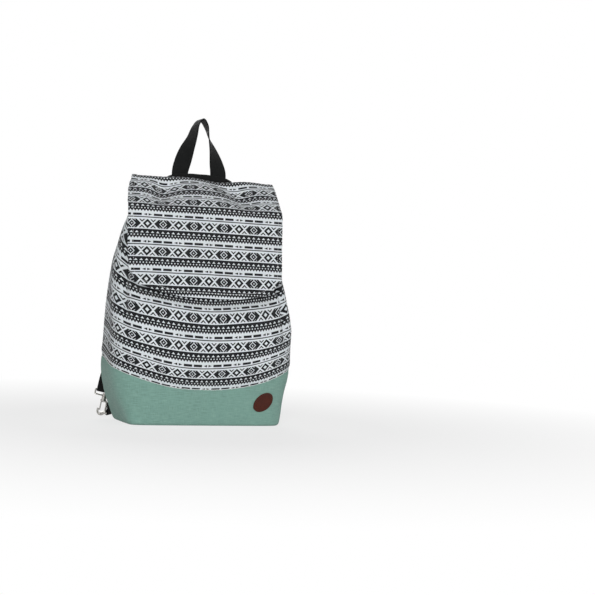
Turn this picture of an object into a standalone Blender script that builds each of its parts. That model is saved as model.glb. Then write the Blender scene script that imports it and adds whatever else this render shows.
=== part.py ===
"""A flap backpack: a printed canvas body on a plain canvas boot, a webbing handle, and one long strap
that is threaded behind the handle and clipped to a ring at each lower back corner."""

import math

import bmesh
import bpy
import numpy as np
from mathutils import Matrix, Vector

# The bag stands on its boot with the origin at the middle of the base.
# The front is at -Y, the wearer's back at +Y. All sizes are in metres.
GAP = 0.0003
CLOTH = 0.0022

# Body: width across, reach ahead of the middle, reach behind it
BASE_WIDTH = 0.256
BASE_FRONT = 0.060
BASE_BACK = 0.058
KNEE_HEIGHT = 0.022
KNEE_WIDTH = 0.270
KNEE_FRONT = 0.064
KNEE_BACK = 0.061
BELLY_HEIGHT = 0.115
BELLY_WIDTH = 0.311
BELLY_FRONT = 0.072
BELLY_BACK = 0.066
HEM_HEIGHT = 0.205
HEM_WIDTH = 0.293
HEM_FRONT = 0.054
HEM_BACK = 0.062
SHOULDER_HEIGHT = 0.300
SHOULDER_WIDTH = 0.262
SHOULDER_FRONT = 0.024
SHOULDER_BACK = 0.050
MOUTH_HEIGHT = 0.392
MOUTH_WIDTH = 0.236
MOUTH_FRONT = 0.000
MOUTH_BACK = 0.033
BASE_SQUARENESS = 8.0
FRONT_SQUARENESS = 3.0
BACK_SQUARENESS = 4.2
BASE_ROUNDING = 0.005
AROUND = 48

# The seam between boot and body is low at the front and climbs to the back
SEAM_FRONT_HEIGHT = 0.058
SEAM_CLIMB = 0.048
SEAM_CLIMB_START = 0.02
SEAM_CLIMB_SPAN = 0.53
SEAM_GAP = 0.0006

# Flap: one cloth from the back panel, over the top edge and down the front
FLAP_WIDTH = 0.256
FLAP_TOP = 0.402
FLAP_TAIL = 0.024
FLAP_CREST_HEIGHT = 0.354
FLAP_CREST_FRONT = 0.018
FLAP_CREST_RADIUS = 0.012
FLAP_TOP_RADIUS = 0.006
FLAP_TOP_BEND = 1.5
FLAP_CREST_INSET = 0.75
FLAP_CREST_SINK = 0.95
FLAP_STAND = 0.0062
FLAP_HEM_BOW = 0.014
FLAP_CORNER_CUT = 0.016
MOUTH_DROP = 0.009

# Magnetic snap, half on the body and half under the flap
SNAP_DIAMETER = 0.018
SNAP_THICKNESS = 0.0012
SNAP_ABOVE_HEM = 0.024

# Oval leather disc on the boot, sewn on slantwise
DISC_LENGTH = 0.039
DISC_WIDTH = 0.026
DISC_SLANT = math.radians(37)
DISC_THICKNESS = 0.0018
DISC_FROM_SIDE = 0.0476
DISC_HEIGHT = 0.0390

# Handle webbing
HANDLE_WIDTH = 0.026
HANDLE_THICKNESS = 0.0020
HANDLE_SPREAD = 0.066
HANDLE_FOOT = 0.340
HANDLE_APEX = 0.5035
HANDLE_APEX_RADIUS = 0.009
HANDLE_APEX_DROP = 1.3
HANDLE_PAST_STRAP = 0.003
HANDLE_STEP = 0.012
HANDLE_SLACK = 0.0006
HANDLE_PIECE = 0.006
# Share of the rise above the strap, share of the way in to the apex, and turn of the band in degrees
HANDLE_ROUTE = ((0.0, 0.0, 2), (0.19, 0.17, 20), (0.41, 0.42, 45), (0.64, 0.75, 70))

# Strap webbing and its run behind the bag
STRAP_WIDTH = 0.029
STRAP_THICKNESS = 0.0018
STRAP_HEIGHT = 0.3935
STRAP_BULGE = 0.042
STRAP_FOLD = 0.034
STRAP_RISER = 0.022
STRAP_LEAD = 0.010
STRAP_FLARE = 0.009
STRAP_PEEL = 0.0015
STRAP_DIP = 0.006
STRAP_BESIDE_HANDLE = 0.003
# Share of the belly's width, share of the bulge and share of the strap's height
STRAP_ROUTE = (
    (0.389, 0.24, 0.239),
    (0.357, 0.76, 0.3685),
    (0.3215, 1.0, 0.521),
    (0.283, 0.81, 0.6735),
    (0.2637, 0.145, 0.826),
    (0.225, -0.378, 0.934),
)
SLIDER_FROM_RING = 0.170
SLIDER_PITCH = 0.010
SLIDER_WIRE = 0.0026
SLIDER_BAR = 0.0022
SLIDER_LEAD = 0.030
SLIDER_TOP = 0.0022
SLIDER_PLAY = 0.0004

# Rings on webbing tabs
TAB_WIDTH = 0.020
TAB_THICKNESS = 0.0016
TAB_LENGTH = 0.018
TAB_TAIL = 0.4
RING_WIRE = 0.0030
RING_REACH = 0.0130
RING_SHOULDER = 0.0035
LOWER_TAB_TURN = 0.316
LOWER_RING_HEIGHT = 0.0095
UPPER_TAB_FROM_SIDE = 0.0252378
UPPER_RING_HEIGHT = 0.347

# Swivel hook, measured down its axis from the bar that the strap loops round
EYE_WIRE = 0.0028
EYE_HEIGHT = 0.0084
SWIVEL_PIN = 0.0036
SWIVEL_HEAD = 0.0064
SWIVEL_HEAD_THICKNESS = 0.0013
COLLAR_DIAMETER = 0.0080
COLLAR_LENGTH = 0.0040
BOSS_LENGTH = 0.0080
HOOK_ROD = 0.0034
HOOK_HALF_WIDTH = 0.0065
HOOK_STRAIGHT = 0.0150
HOOK_TIP = 0.0035
# The rod's way out from the boss: share of its half width, share of its straight
HOOK_SHOULDER = ((0.0, 0.0), (0.55, 0.12), (0.93, 0.32), (1.0, 0.567))
GATE_ROD = 0.0022
GATE_PIN = 0.0014
GATE_PIN_LENGTH = 0.0068
GATE_KNUCKLE = 0.0036
GATE_SET_BACK = 0.0024
GATE_SHORT = 0.0010
GATE_SLOT_WIDTH = 0.0080
GATE_SLOT_LENGTH = 0.0064
GATE_SLOT_OUT = 0.0012
GATE_SLOT_DOWN = 0.0008
HOOK_LEAN_IN = 0.25
HOOK_LEAN_BACK = 0.26

# How far one solid reaches into another where they are joined, and how far a cutter reaches past
JOIN = 0.001
OVERCUT = 0.002

# How finely the curves are cut
PATH_STEPS = 12
PATH_FEEL = 0.003
SKIN_FEEL = 0.004
RIBBON_PIECE = 0.010

BAG = None
GUIDES = None


def clear_scene():
    for item in list(bpy.data.objects):
        bpy.data.objects.remove(item, do_unlink=True)


def collection(name):
    made = bpy.data.collections.new(name)
    bpy.context.scene.collection.children.link(made)
    return made


def material(name, colour, roughness, metallic=0.0):
    made = bpy.data.materials.new(name)
    made.use_nodes = True
    shader = made.node_tree.nodes["Principled BSDF"]
    shader.inputs["Base Color"].default_value = (*colour, 1.0)
    shader.inputs["Roughness"].default_value = roughness
    shader.inputs["Metallic"].default_value = metallic
    return made


def add_mesh(name, bm, finish=None, place=None, smooth=True):
    """Turns a bmesh into a named object of the bag."""
    mesh = bpy.data.meshes.new(name)
    bm.to_mesh(mesh)
    bm.free()
    if smooth:
        mesh.shade_smooth()
        mesh.set_sharp_from_angle(angle=math.radians(40))
    made = bpy.data.objects.new(name, mesh)
    BAG.objects.link(made)
    if finish:
        mesh.materials.append(finish)
    if place is not None:
        made.matrix_world = place
    return made


def add_solidify(piece, thickness):
    wall = piece.modifiers.new("wall", "SOLIDIFY")
    wall.thickness = thickness
    wall.offset = -1.0
    wall.use_even_offset = True
    return piece


# The skin: a smooth hull through the named widths and depths
def stations():
    """Height, half width, front, back, and how square the front and back corners are."""
    knee_front = (BASE_SQUARENESS + FRONT_SQUARENESS) / 2
    knee_back = (BASE_SQUARENESS + BACK_SQUARENESS) / 2
    corners = (FRONT_SQUARENESS, BACK_SQUARENESS)
    return np.array(
        [
            (0.0, BASE_WIDTH / 2, BASE_FRONT, BASE_BACK, BASE_SQUARENESS, BASE_SQUARENESS),
            (KNEE_HEIGHT, KNEE_WIDTH / 2, KNEE_FRONT, KNEE_BACK, knee_front, knee_back),
            (BELLY_HEIGHT, BELLY_WIDTH / 2, BELLY_FRONT, BELLY_BACK, *corners),
            (HEM_HEIGHT, HEM_WIDTH / 2, HEM_FRONT, HEM_BACK, *corners),
            (SHOULDER_HEIGHT, SHOULDER_WIDTH / 2, SHOULDER_FRONT, SHOULDER_BACK, *corners),
            (MOUTH_HEIGHT, MOUTH_WIDTH / 2, MOUTH_FRONT, MOUTH_BACK, *corners),
        ]
    )


def girth_at(z):
    """The bag's girth at a height, on a smooth curve through the stations."""
    table = stations()
    heights, values = table[:, 0], table[:, 1:]
    slopes = np.gradient(values, heights, axis=0)
    i = int(np.clip(np.searchsorted(heights, z) - 1, 0, len(heights) - 2))
    span = heights[i + 1] - heights[i]
    t = min(max((z - heights[i]) / span, -0.2), 1.2)
    blend = (2 * t**3 - 3 * t**2 + 1, t**3 - 2 * t**2 + t, -2 * t**3 + 3 * t**2, t**3 - t**2)
    return (
        values[i] * blend[0]
        + slopes[i] * span * blend[1]
        + values[i + 1] * blend[2]
        + slopes[i + 1] * span * blend[3]
    )


def outline_at(z, steps=240):
    """The bag's outline at a height and how far round it each point lies, from 0 at the front middle."""
    half, front, back, front_square, back_square = girth_at(z)
    turn = np.linspace(0.0, 2.0 * math.pi, steps + 1)
    across, along = np.sin(turn), -np.cos(turn)
    reach = 2.0 / np.where(along < 0, front_square, back_square)
    x = half * np.sign(across) * np.abs(across) ** reach
    y = (back - front) / 2 + (back + front) / 2 * np.sign(along) * np.abs(along) ** reach
    walked = np.concatenate([[0.0], np.cumsum(np.hypot(np.diff(x), np.diff(y)))])
    return walked / walked[-1], x, y


def on_skin(q, z):
    share, x, y = outline_at(z)
    q = q % 1.0
    return Vector((float(np.interp(q, share, x)), float(np.interp(q, share, y)), z))


def skin_normal(q, z):
    step = SKIN_FEEL
    side = on_skin(q + step, z) - on_skin(q - step, z)
    rise = on_skin(q, z + step) - on_skin(q, z - step)
    return side.cross(rise).normalized()


def skin(q, z, out=0.0):
    return on_skin(q, z) + skin_normal(q, z) * out


def round_at_x(x, z, back=False):
    """How far round the outline a given X lies, on the front or on the back."""
    share, xs, ys = outline_at(z)
    quarter = (share >= 0.25) & (share <= 0.5) if back else share <= 0.25
    order = np.argsort(xs[quarter])
    found = float(np.interp(abs(x), xs[quarter][order], share[quarter][order]))
    return found if x >= 0 else 1.0 - found


def smoothstep(t):
    t = min(max(t, 0.0), 1.0)
    return t * t * (3 - 2 * t)


def seam_height(q):
    away = min(q % 1.0, 1.0 - q % 1.0) * 2.0
    return SEAM_FRONT_HEIGHT + SEAM_CLIMB * smoothstep((away - SEAM_CLIMB_START) / SEAM_CLIMB_SPAN)


def flap_slope_height(y):
    """Height of the flap's upper slope over a place between the crest and the back edge."""
    back = MOUTH_BACK
    share = (y + FLAP_CREST_FRONT) / (back + FLAP_CREST_FRONT)
    return FLAP_CREST_HEIGHT + (FLAP_TOP - FLAP_CREST_HEIGHT) * share


def mouth_height(q):
    """The mouth is cut on a slant that stays under the flap."""
    z = FLAP_CREST_HEIGHT
    for _ in range(8):
        z = flap_slope_height(on_skin(q, z).y) - MOUTH_DROP
    return z


def loft(bm, rows):
    """Joins closed rings of points, lowest first, into a skin that faces out."""
    rings = [[bm.verts.new(point) for point in row] for row in rows]
    for low, high in zip(rings, rings[1:]):
        for j in range(len(low)):
            k = (j + 1) % len(low)
            bm.faces.new((low[j], low[k], high[k], high[j]))
    return rings


def make_boot(finish):
    """The plain canvas boot: flat bottom, rounded lower edge, open top at the seam."""
    bm = bmesh.new()
    turns = [j / AROUND for j in range(AROUND)]
    rows = []
    for share in (0.0, 0.35, 1.0):
        angle = share * math.pi / 2
        inset = BASE_ROUNDING * (1 - math.sin(angle))
        z = BASE_ROUNDING * (1 - math.cos(angle))
        rows.append([Vector((*skin(q, z, -inset).xy, z)) for q in turns])
    levels = 5
    for i in range(1, levels + 1):
        share = i / levels
        rows.append([skin(q, BASE_ROUNDING + share * (seam_height(q) - BASE_ROUNDING)) for q in turns])
    rings = loft(bm, rows)
    bm.faces.new(list(reversed(rings[0])))
    return add_solidify(add_mesh("boot", bm, finish), CLOTH)


def make_body(finish):
    """The printed canvas body: a tube of cloth from the seam up to the slanted mouth."""
    bm = bmesh.new()
    turns = [j / AROUND for j in range(AROUND)]
    levels = 11
    rows = []
    for i in range(levels + 1):
        share = i / levels
        row = []
        for q in turns:
            low, high = seam_height(q) + SEAM_GAP, mouth_height(q)
            row.append(skin(q, low + share * (high - low)))
        rows.append(row)
    loft(bm, rows)
    return add_solidify(add_mesh("body", bm, finish), CLOTH)


def arc(centre, radius, first, last, steps):
    """Points on an arc in the plane of depth and height, angles in degrees from the front."""
    points = []
    for i in range(steps + 1):
        a = math.radians(first + (last - first) * i / steps)
        points.append((centre[0] - radius * math.cos(a), centre[1] + radius * math.sin(a)))
    return points


def flap_hem_height(x):
    """The hem bows down in the middle, and its corners are cut off."""
    edge = FLAP_WIDTH / 2
    bow = FLAP_HEM_BOW * (x / edge) ** 2
    cut = max(0.0, abs(x) - (edge - FLAP_CORNER_CUT))
    return HEM_HEIGHT - CLOTH + bow + cut


def front_lean():
    """Angle of the flap's front from upright."""
    hem_front = HEM_FRONT + FLAP_STAND + CLOTH
    return math.atan2(hem_front - FLAP_CREST_FRONT, FLAP_CREST_HEIGHT - HEM_HEIGHT)


def flap_front_depth(z):
    """Y of the flap's outer face at a height on its front."""
    return -(HEM_FRONT + FLAP_STAND + CLOTH) + math.tan(front_lean()) * (z - HEM_HEIGHT)


def flap_profile(x):
    """Side view of the flap's outer face at one place across, from its tail to its hem."""
    back = MOUTH_BACK + GAP + CLOTH
    tail = FLAP_TOP - FLAP_TAIL
    lower_back = float(girth_at(tail)[2]) + GAP + CLOTH
    slope = math.degrees(math.atan2(FLAP_TOP - FLAP_CREST_HEIGHT, MOUTH_BACK + FLAP_CREST_FRONT))
    lean = math.degrees(front_lean())
    points = [(lower_back, tail), (back, FLAP_TOP - FLAP_TOP_RADIUS * FLAP_TOP_BEND)]
    top = (back - FLAP_TOP_RADIUS, FLAP_TOP - FLAP_TOP_RADIUS)
    points += arc(top, FLAP_TOP_RADIUS, 165, 90 - slope, 4)
    crest = (
        -FLAP_CREST_FRONT + FLAP_CREST_RADIUS * FLAP_CREST_INSET,
        FLAP_CREST_HEIGHT - FLAP_CREST_RADIUS * FLAP_CREST_SINK,
    )
    points += arc(crest, FLAP_CREST_RADIUS, 90 - slope, lean, 4)
    start = points[-1][1]
    hem = flap_hem_height(x)
    for i in range(1, 7):
        z = start + (hem - start) * i / 6
        points.append((flap_front_depth(z), z))
    return points


def make_flap(finish):
    edge = FLAP_WIDTH / 2
    inner = edge - FLAP_CORNER_CUT
    places = [-edge, -(edge + inner) / 2, -inner]
    places += [inner * k / 5 for k in range(-4, 5)]
    places += [inner, (edge + inner) / 2, edge]
    bm = bmesh.new()
    grid = [[bm.verts.new((x, y, z)) for y, z in flap_profile(x)] for x in places]
    for left, right in zip(grid, grid[1:]):
        for j in range(len(left) - 1):
            bm.faces.new((left[j + 1], right[j + 1], right[j], left[j]))
    return add_solidify(add_mesh("flap", bm, finish), CLOTH)


# Webbing: a ribbon given by its side view on a base path, as (distance along, offset outwards)
class Path:
    """A smooth space curve with an outward direction and a width direction at each place."""

    def __init__(self, points, widths):
        fine = []
        for i in range(len(points) - 1):
            before = points[max(i - 1, 0)]
            after = points[min(i + 2, len(points) - 1)]
            a, b = points[i], points[i + 1]
            for k in range(PATH_STEPS):
                fine.append(hermite(a, b, (b - before) / 2, (after - a) / 2, k / PATH_STEPS))
        fine.append(points[-1])
        self.points = np.array([list(p) for p in fine])
        steps = np.linalg.norm(np.diff(self.points, axis=0), axis=1)
        self.walked = np.concatenate([[0.0], np.cumsum(steps)])
        self.length = float(self.walked[-1])
        marks = np.linspace(0, 1, len(widths))
        shares = np.linspace(0, 1, len(self.points))
        self.wide = np.stack([np.interp(shares, marks, np.array(widths)[:, k]) for k in range(3)], 1)

    def at(self, s):
        if s < 0 or s > self.length:
            edge = 0.0 if s < 0 else self.length
            place, along, wide, out = self.at(edge)
            return place + along * (s - edge), along, wide, out
        place = Vector([float(np.interp(s, self.walked, self.points[:, k])) for k in range(3)])
        low, high = max(s - PATH_FEEL, 0.0), min(s + PATH_FEEL, self.length)
        ends = [
            Vector([float(np.interp(v, self.walked, self.points[:, k])) for k in range(3)])
            for v in (low, high)
        ]
        along = (ends[1] - ends[0]).normalized()
        wide = Vector([float(np.interp(s, self.walked, self.wide[:, k])) for k in range(3)])
        wide = (wide - along * wide.dot(along)).normalized()
        return place, along, wide, wide.cross(along).normalized()


def hermite(a, b, from_a, to_b, t):
    return (
        a * (2 * t**3 - 3 * t**2 + 1)
        + from_a * (t**3 - 2 * t**2 + t)
        + b * (-2 * t**3 + 3 * t**2)
        + to_b * (t**3 - t**2)
    )


def ribbon(name, path, side_view, width, thickness, finish, most=RIBBON_PIECE):
    """A strip of webbing whose side view is a line of (along, out) points on the path."""
    line = [np.array(side_view[0])]
    for a, b in zip(side_view, side_view[1:]):
        a, b = np.array(a), np.array(b)
        parts = max(1, math.ceil(float(np.linalg.norm(b - a)) / most))
        line += [a + (b - a) * k / parts for k in range(1, parts + 1)]
    bm = bmesh.new()
    rings = []
    for i, point in enumerate(line):
        before = line[i] - line[i - 1] if i else line[1] - line[0]
        after = line[i + 1] - line[i] if i + 1 < len(line) else before
        before, after = before / np.linalg.norm(before), after / np.linalg.norm(after)
        middle = before + after
        middle /= np.linalg.norm(middle)
        sharp = max(0.5, float(np.dot(middle, before)))
        normal = np.array([-middle[1], middle[0]]) * (thickness / 2 / sharp)
        corners = []
        for side in (1, -1):
            s, d = point + side * normal
            place, _, wide, out = path.at(float(s))
            for edge in (side, -side):
                corners.append(bm.verts.new(place + out * float(d) + wide * (edge * width / 2)))
        rings.append(corners)
    for near, far in zip(rings, rings[1:]):
        for j in range(4):
            k = (j + 1) % 4
            bm.faces.new((near[j], near[k], far[k], far[j]))
    bm.faces.new(list(reversed(rings[0])))
    bm.faces.new(rings[-1])
    bmesh.ops.recalc_face_normals(bm, faces=bm.faces)
    return add_mesh(name, bm, finish)


def round_bar(s, d, radius, first, last, steps=8):
    """Side view of webbing bent round a bar, angles in degrees from the outward side."""
    turns = [math.radians(first + (last - first) * i / steps) for i in range(steps + 1)]
    return [(s + radius * math.sin(a), d + radius * math.cos(a)) for a in turns]


# Bars, rings and hooks
def rod(name, points, radius, finish, cyclic=False, sides=2):
    curve = bpy.data.curves.new(name, "CURVE")
    curve.dimensions = "3D"
    curve.bevel_depth = radius
    curve.bevel_resolution = sides
    curve.use_fill_caps = not cyclic
    spline = curve.splines.new("POLY")
    spline.points.add(len(points) - 1)
    for spot, point in zip(spline.points, points):
        spot.co = (*point, 1.0)
    spline.use_cyclic_u = cyclic
    made = bpy.data.objects.new(name, curve)
    BAG.objects.link(made)
    if finish:
        curve.materials.append(finish)
    return made


def as_mesh(piece):
    """Turns a bevelled curve into a closed mesh object of the same name."""
    bpy.context.view_layer.update()
    graph = bpy.context.evaluated_depsgraph_get()
    mesh = bpy.data.meshes.new_from_object(piece.evaluated_get(graph))
    bm = bmesh.new()
    bm.from_mesh(mesh)
    bmesh.ops.remove_doubles(bm, verts=bm.verts, dist=0.00001)
    bm.to_mesh(mesh)
    bm.free()
    name = piece.name
    place = piece.matrix_world.copy()
    bpy.data.objects.remove(piece, do_unlink=True)
    made = bpy.data.objects.new(name, mesh)
    made.matrix_world = place
    BAG.objects.link(made)
    return made


def cylinder(name, diameter, low, high, place, segments=20):
    """A round bar along the local Z axis of a frame, between two distances."""
    bm = bmesh.new()
    bmesh.ops.create_cone(
        bm,
        cap_ends=True,
        segments=segments,
        radius1=diameter / 2,
        radius2=diameter / 2,
        depth=high - low,
        matrix=Matrix.Translation((0, 0, (low + high) / 2)),
    )
    return add_mesh(name, bm, place=place)


def block(name, size, middle, place):
    bm = bmesh.new()
    bmesh.ops.create_cube(bm, size=1.0, matrix=Matrix.Translation(middle) @ Matrix.Diagonal((*size, 1)))
    return add_mesh(name, bm, place=place, smooth=False)


def combine(piece, other, operation):
    """Joins another piece to this one or cuts it away, and keeps the other as a hidden guide."""
    BAG.objects.unlink(other)
    GUIDES.objects.link(other)
    other.hide_render = True
    other.display_type = "WIRE"
    change = piece.modifiers.new(operation.lower(), "BOOLEAN")
    change.operation = operation
    change.object = other
    change.solver = "EXACT"
    return piece


def frame_of(origin, across, down):
    """A frame whose X is across, whose Z is down the axis given, and whose Y completes them."""
    z = down.normalized()
    x = (across - z * across.dot(z)).normalized()
    y = z.cross(x)
    turned = Matrix((x, y, z)).transposed().to_4x4()
    turned.translation = origin
    return turned


class Corner:
    """Where a ring hangs on the skin: its bar, the outward direction and the direction along the bar."""

    def __init__(self, q, bar_height):
        high = bar_height + TAB_LENGTH / 2
        self.out = skin_normal(q, high)
        self.out.z = 0.0
        self.out.normalize()
        self.along = Vector((0, 0, 1)).cross(self.out).normalized()
        reach = RING_WIRE / 2 + GAP + TAB_THICKNESS
        self.wall = max(
            (skin(q, z) - skin(q, high)).dot(self.out) for z in (bar_height, high, high + TAB_LENGTH / 2)
        )
        surface = skin(q, high)
        surface.z = bar_height
        self.bar = surface + self.out * (self.wall + GAP + reach)


def make_tab(name, corner, finish):
    """A short webbing tab sewn to the skin, folded round the ring's bar."""
    base = Path([corner.bar, corner.bar + Vector((0, 0, 3 * TAB_LENGTH))], [corner.along, corner.along])
    radius = RING_WIRE / 2 + GAP + TAB_THICKNESS / 2
    turned = round_bar(0.0, 0.0, radius, 0, -180, 10)
    near = -radius
    far = near + TAB_THICKNESS + GAP
    _, _, _, out = base.at(0.0)
    if out.dot(corner.out) < 0:
        near, far = -near, -far
        turned = round_bar(0.0, 0.0, radius, 180, 360, 10)
    line = [(TAB_LENGTH, far), (TAB_LENGTH * TAB_TAIL, far)] + turned + [(TAB_LENGTH, near)]
    return ribbon(name, base, line, TAB_WIDTH, TAB_THICKNESS, finish)


def make_ring(name, corner, angle, finish):
    """A wire ring with a straight bar in its tab, lying at an angle down from straight out."""
    lie = corner.out * math.cos(angle) - Vector((0, 0, 1)) * math.sin(angle)
    half = TAB_WIDTH / 2 + GAP * 3 + RING_WIRE / 2
    points = [(-half, 0.0), (0.0, 0.0), (half, 0.0)]
    for i in range(17):
        a = math.pi * i / 16
        points.append((half * math.cos(a), RING_SHOULDER + (RING_REACH - RING_SHOULDER) * math.sin(a)))
    local = [corner.along * p + lie * r for p, r in points]
    made = rod(name, local, RING_WIRE / 2, finish, cyclic=True)
    made.location = corner.bar
    return made, corner.bar + lie * RING_REACH


class HookFrame:
    """The swivel hook's axis, from the bar that the strap loops round down to the ring's wire."""

    def __init__(self, corner, held, side):
        lean = Vector((-side * HOOK_LEAN_IN, HOOK_LEAN_BACK, 1.0)).normalized()
        self.down = -lean
        self.bowl = EYE_HEIGHT + COLLAR_LENGTH / 2 + GAP + BOSS_LENGTH + HOOK_STRAIGHT
        inside = self.bowl + HOOK_HALF_WIDTH - HOOK_ROD / 2
        self.reach = inside - RING_WIRE / 2 - GAP
        self.origin = held + lean * self.reach
        self.hook = frame_of(self.origin, -corner.out, self.down)
        self.eye = frame_of(self.origin, Vector((1, 0, 0)), self.down)


def make_eye(side_name, frame, finish):
    """The eye: a flat wire loop for the strap, with a bored collar for the swivel pin."""
    bend = EYE_WIRE / 2 + GAP
    half = STRAP_WIDTH / 2 + GAP + bend
    points = []
    for cx, cz, first in ((half, 0, 90), (half, EYE_HEIGHT, 0), (-half, EYE_HEIGHT, -90), (-half, 0, -180)):
        sx = math.copysign(half - bend, cx)
        sz = bend if cz == 0 else EYE_HEIGHT - bend
        for k in range(4):
            a = math.radians(first - 30 * k)
            points.append((sx + bend * math.cos(a), 0.0, sz - bend * math.sin(a)))
    loop = as_mesh(rod("hook_eye_" + side_name, points, EYE_WIRE / 2, None, cyclic=True))
    loop.data.materials.append(finish)
    loop.matrix_world = frame.eye
    low, high = EYE_HEIGHT - COLLAR_LENGTH / 2, EYE_HEIGHT + COLLAR_LENGTH / 2
    collar = cylinder("collar_" + side_name, COLLAR_DIAMETER, low, high, frame.eye)
    bored = SWIVEL_PIN + 2 * GAP
    bore = cylinder("collar_bore_" + side_name, bored, low - OVERCUT, high + OVERCUT, frame.eye)
    combine(loop, collar, "UNION")
    return combine(loop, bore, "DIFFERENCE")


def gate_line():
    """Distance of the gate from the axis, its pivot's and its tip's distance down the axis."""
    boss_end = EYE_HEIGHT + COLLAR_LENGTH / 2 + GAP + BOSS_LENGTH
    aside = HOOK_HALF_WIDTH - HOOK_ROD / 2 - GAP - GATE_ROD / 2
    return aside, boss_end - GATE_SET_BACK, boss_end + HOOK_STRAIGHT


def make_hook(side_name, frame, finish):
    """The hook: peened head, swivel pin, boss with a fork for the gate, and the bent rod."""
    high = EYE_HEIGHT - COLLAR_LENGTH / 2 - GAP
    low = EYE_HEIGHT + COLLAR_LENGTH / 2 + GAP
    end = low + BOSS_LENGTH
    name = "hook_" + side_name
    start = end - HOOK_ROD
    line = [(HOOK_HALF_WIDTH * h, start + HOOK_STRAIGHT * v) for h, v in HOOK_SHOULDER]
    for k in range(13):
        a = math.pi * k / 12
        line.append((HOOK_HALF_WIDTH * math.cos(a), frame.bowl + HOOK_HALF_WIDTH * math.sin(a)))
    line.append((-HOOK_HALF_WIDTH, frame.bowl - HOOK_TIP))
    hook = as_mesh(rod(name, [(h, 0.0, v) for h, v in line], HOOK_ROD / 2, None))
    hook.data.materials.append(finish)
    hook.matrix_world = frame.hook
    combine(hook, cylinder("boss_" + side_name, COLLAR_DIAMETER, low, end, frame.hook), "UNION")
    pin = cylinder("swivel_pin_" + side_name, SWIVEL_PIN, high - JOIN / 2, low + JOIN, frame.hook)
    combine(hook, pin, "UNION")
    top = high - SWIVEL_HEAD_THICKNESS
    head = cylinder("swivel_head_" + side_name, SWIVEL_HEAD, top, high, frame.hook)
    combine(hook, head, "UNION")
    aside, pivot, _ = gate_line()
    room = GATE_ROD + 2 * GAP
    slot = block(
        "gate_slot_" + side_name,
        (GATE_SLOT_WIDTH, room, GATE_SLOT_LENGTH),
        (-aside - GATE_SLOT_OUT, 0.0, pivot + GATE_SLOT_DOWN),
        frame.hook,
    )
    combine(hook, slot, "DIFFERENCE")
    turned = frame.hook @ Matrix.Translation((-aside, 0, pivot)) @ Matrix.Rotation(math.pi / 2, 4, "X")
    past = COLLAR_DIAMETER / 2 + OVERCUT
    bore = cylinder("gate_bore_" + side_name, GATE_PIN + 2 * GAP, -past, past, turned, 12)
    return combine(hook, bore, "DIFFERENCE")


def make_gate(side_name, frame, finish):
    """The sprung gate, bored for its pin, with its origin on the pin's axis."""
    aside, pivot, tip = gate_line()
    place = frame.hook @ Matrix.Translation((-aside, 0, pivot))
    line = [(0.0, 0.0, 0.0), (0.0, 0.0, (tip - pivot) / 2), (0.0, 0.0, tip - pivot - GATE_SHORT)]
    gate = as_mesh(rod("gate_" + side_name, line, GATE_ROD / 2, None))
    gate.data.materials.append(finish)
    gate.matrix_world = place
    turned = place @ Matrix.Rotation(math.pi / 2, 4, "X")
    half = GATE_ROD / 2
    knuckle = cylinder("knuckle_" + side_name, GATE_KNUCKLE, -half, half, turned, 16)
    combine(gate, knuckle, "UNION")
    past = half + OVERCUT
    bore = cylinder("knuckle_bore_" + side_name, GATE_PIN + 2 * GAP, -past, past, turned, 12)
    combine(gate, bore, "DIFFERENCE")
    pin = cylinder("gate_pin_" + side_name, GATE_PIN, -GATE_PIN_LENGTH / 2, GATE_PIN_LENGTH / 2, turned, 12)
    pin.data.materials.append(finish)
    return gate, pin


def strap_depth():
    """Y of the strap's middle where it lies flat on the flap's tail."""
    low = STRAP_HEIGHT - STRAP_WIDTH / 2
    return float(girth_at(low)[2]) + GAP + CLOTH + GAP + STRAP_THICKNESS / 2


def strap_path(left, right):
    """The strap's route behind the bag, from one hook's eye over the top to the other."""
    behind = strap_depth() - (STRAP_THICKNESS + GAP) / 2
    legs = HANDLE_SPREAD / 2
    clear = legs + HANDLE_WIDTH / 2 + STRAP_BESIDE_HANDLE
    rise = STRAP_HEIGHT

    def half(end, side):
        found = [end.origin, end.origin - end.down * STRAP_RISER]
        for across, bulge, height in STRAP_ROUTE:
            deep = BELLY_BACK + bulge * STRAP_BULGE
            found.append(Vector((side * across * BELLY_WIDTH, deep, height * rise)))
        found.append(Vector((side * (clear + STRAP_FLARE), behind + STRAP_PEEL, rise - STRAP_DIP)))
        found.append(Vector((side * clear, behind, rise - STRAP_DIP / 6)))
        found.append(Vector((side * legs / 2, behind, rise)))
        return found

    route = half(left, -1) + [Vector((0, behind, rise))] + list(reversed(half(right, 1)))
    widths = []
    for i, spot in enumerate(route):
        before, after = route[max(i - 1, 0)], route[min(i + 1, len(route) - 1)]
        along = (after - before).normalized()
        widths.append(Vector((0, 1, 0)).cross(along).normalized())
    across = left.eye.to_3x3() @ Vector((1, 0, 0))
    widths[0] = across if widths[0].dot(across) > 0 else -across
    across = right.eye.to_3x3() @ Vector((1, 0, 0))
    widths[-1] = across if widths[-1].dot(across) > 0 else -across
    return Path(route, widths)


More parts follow.
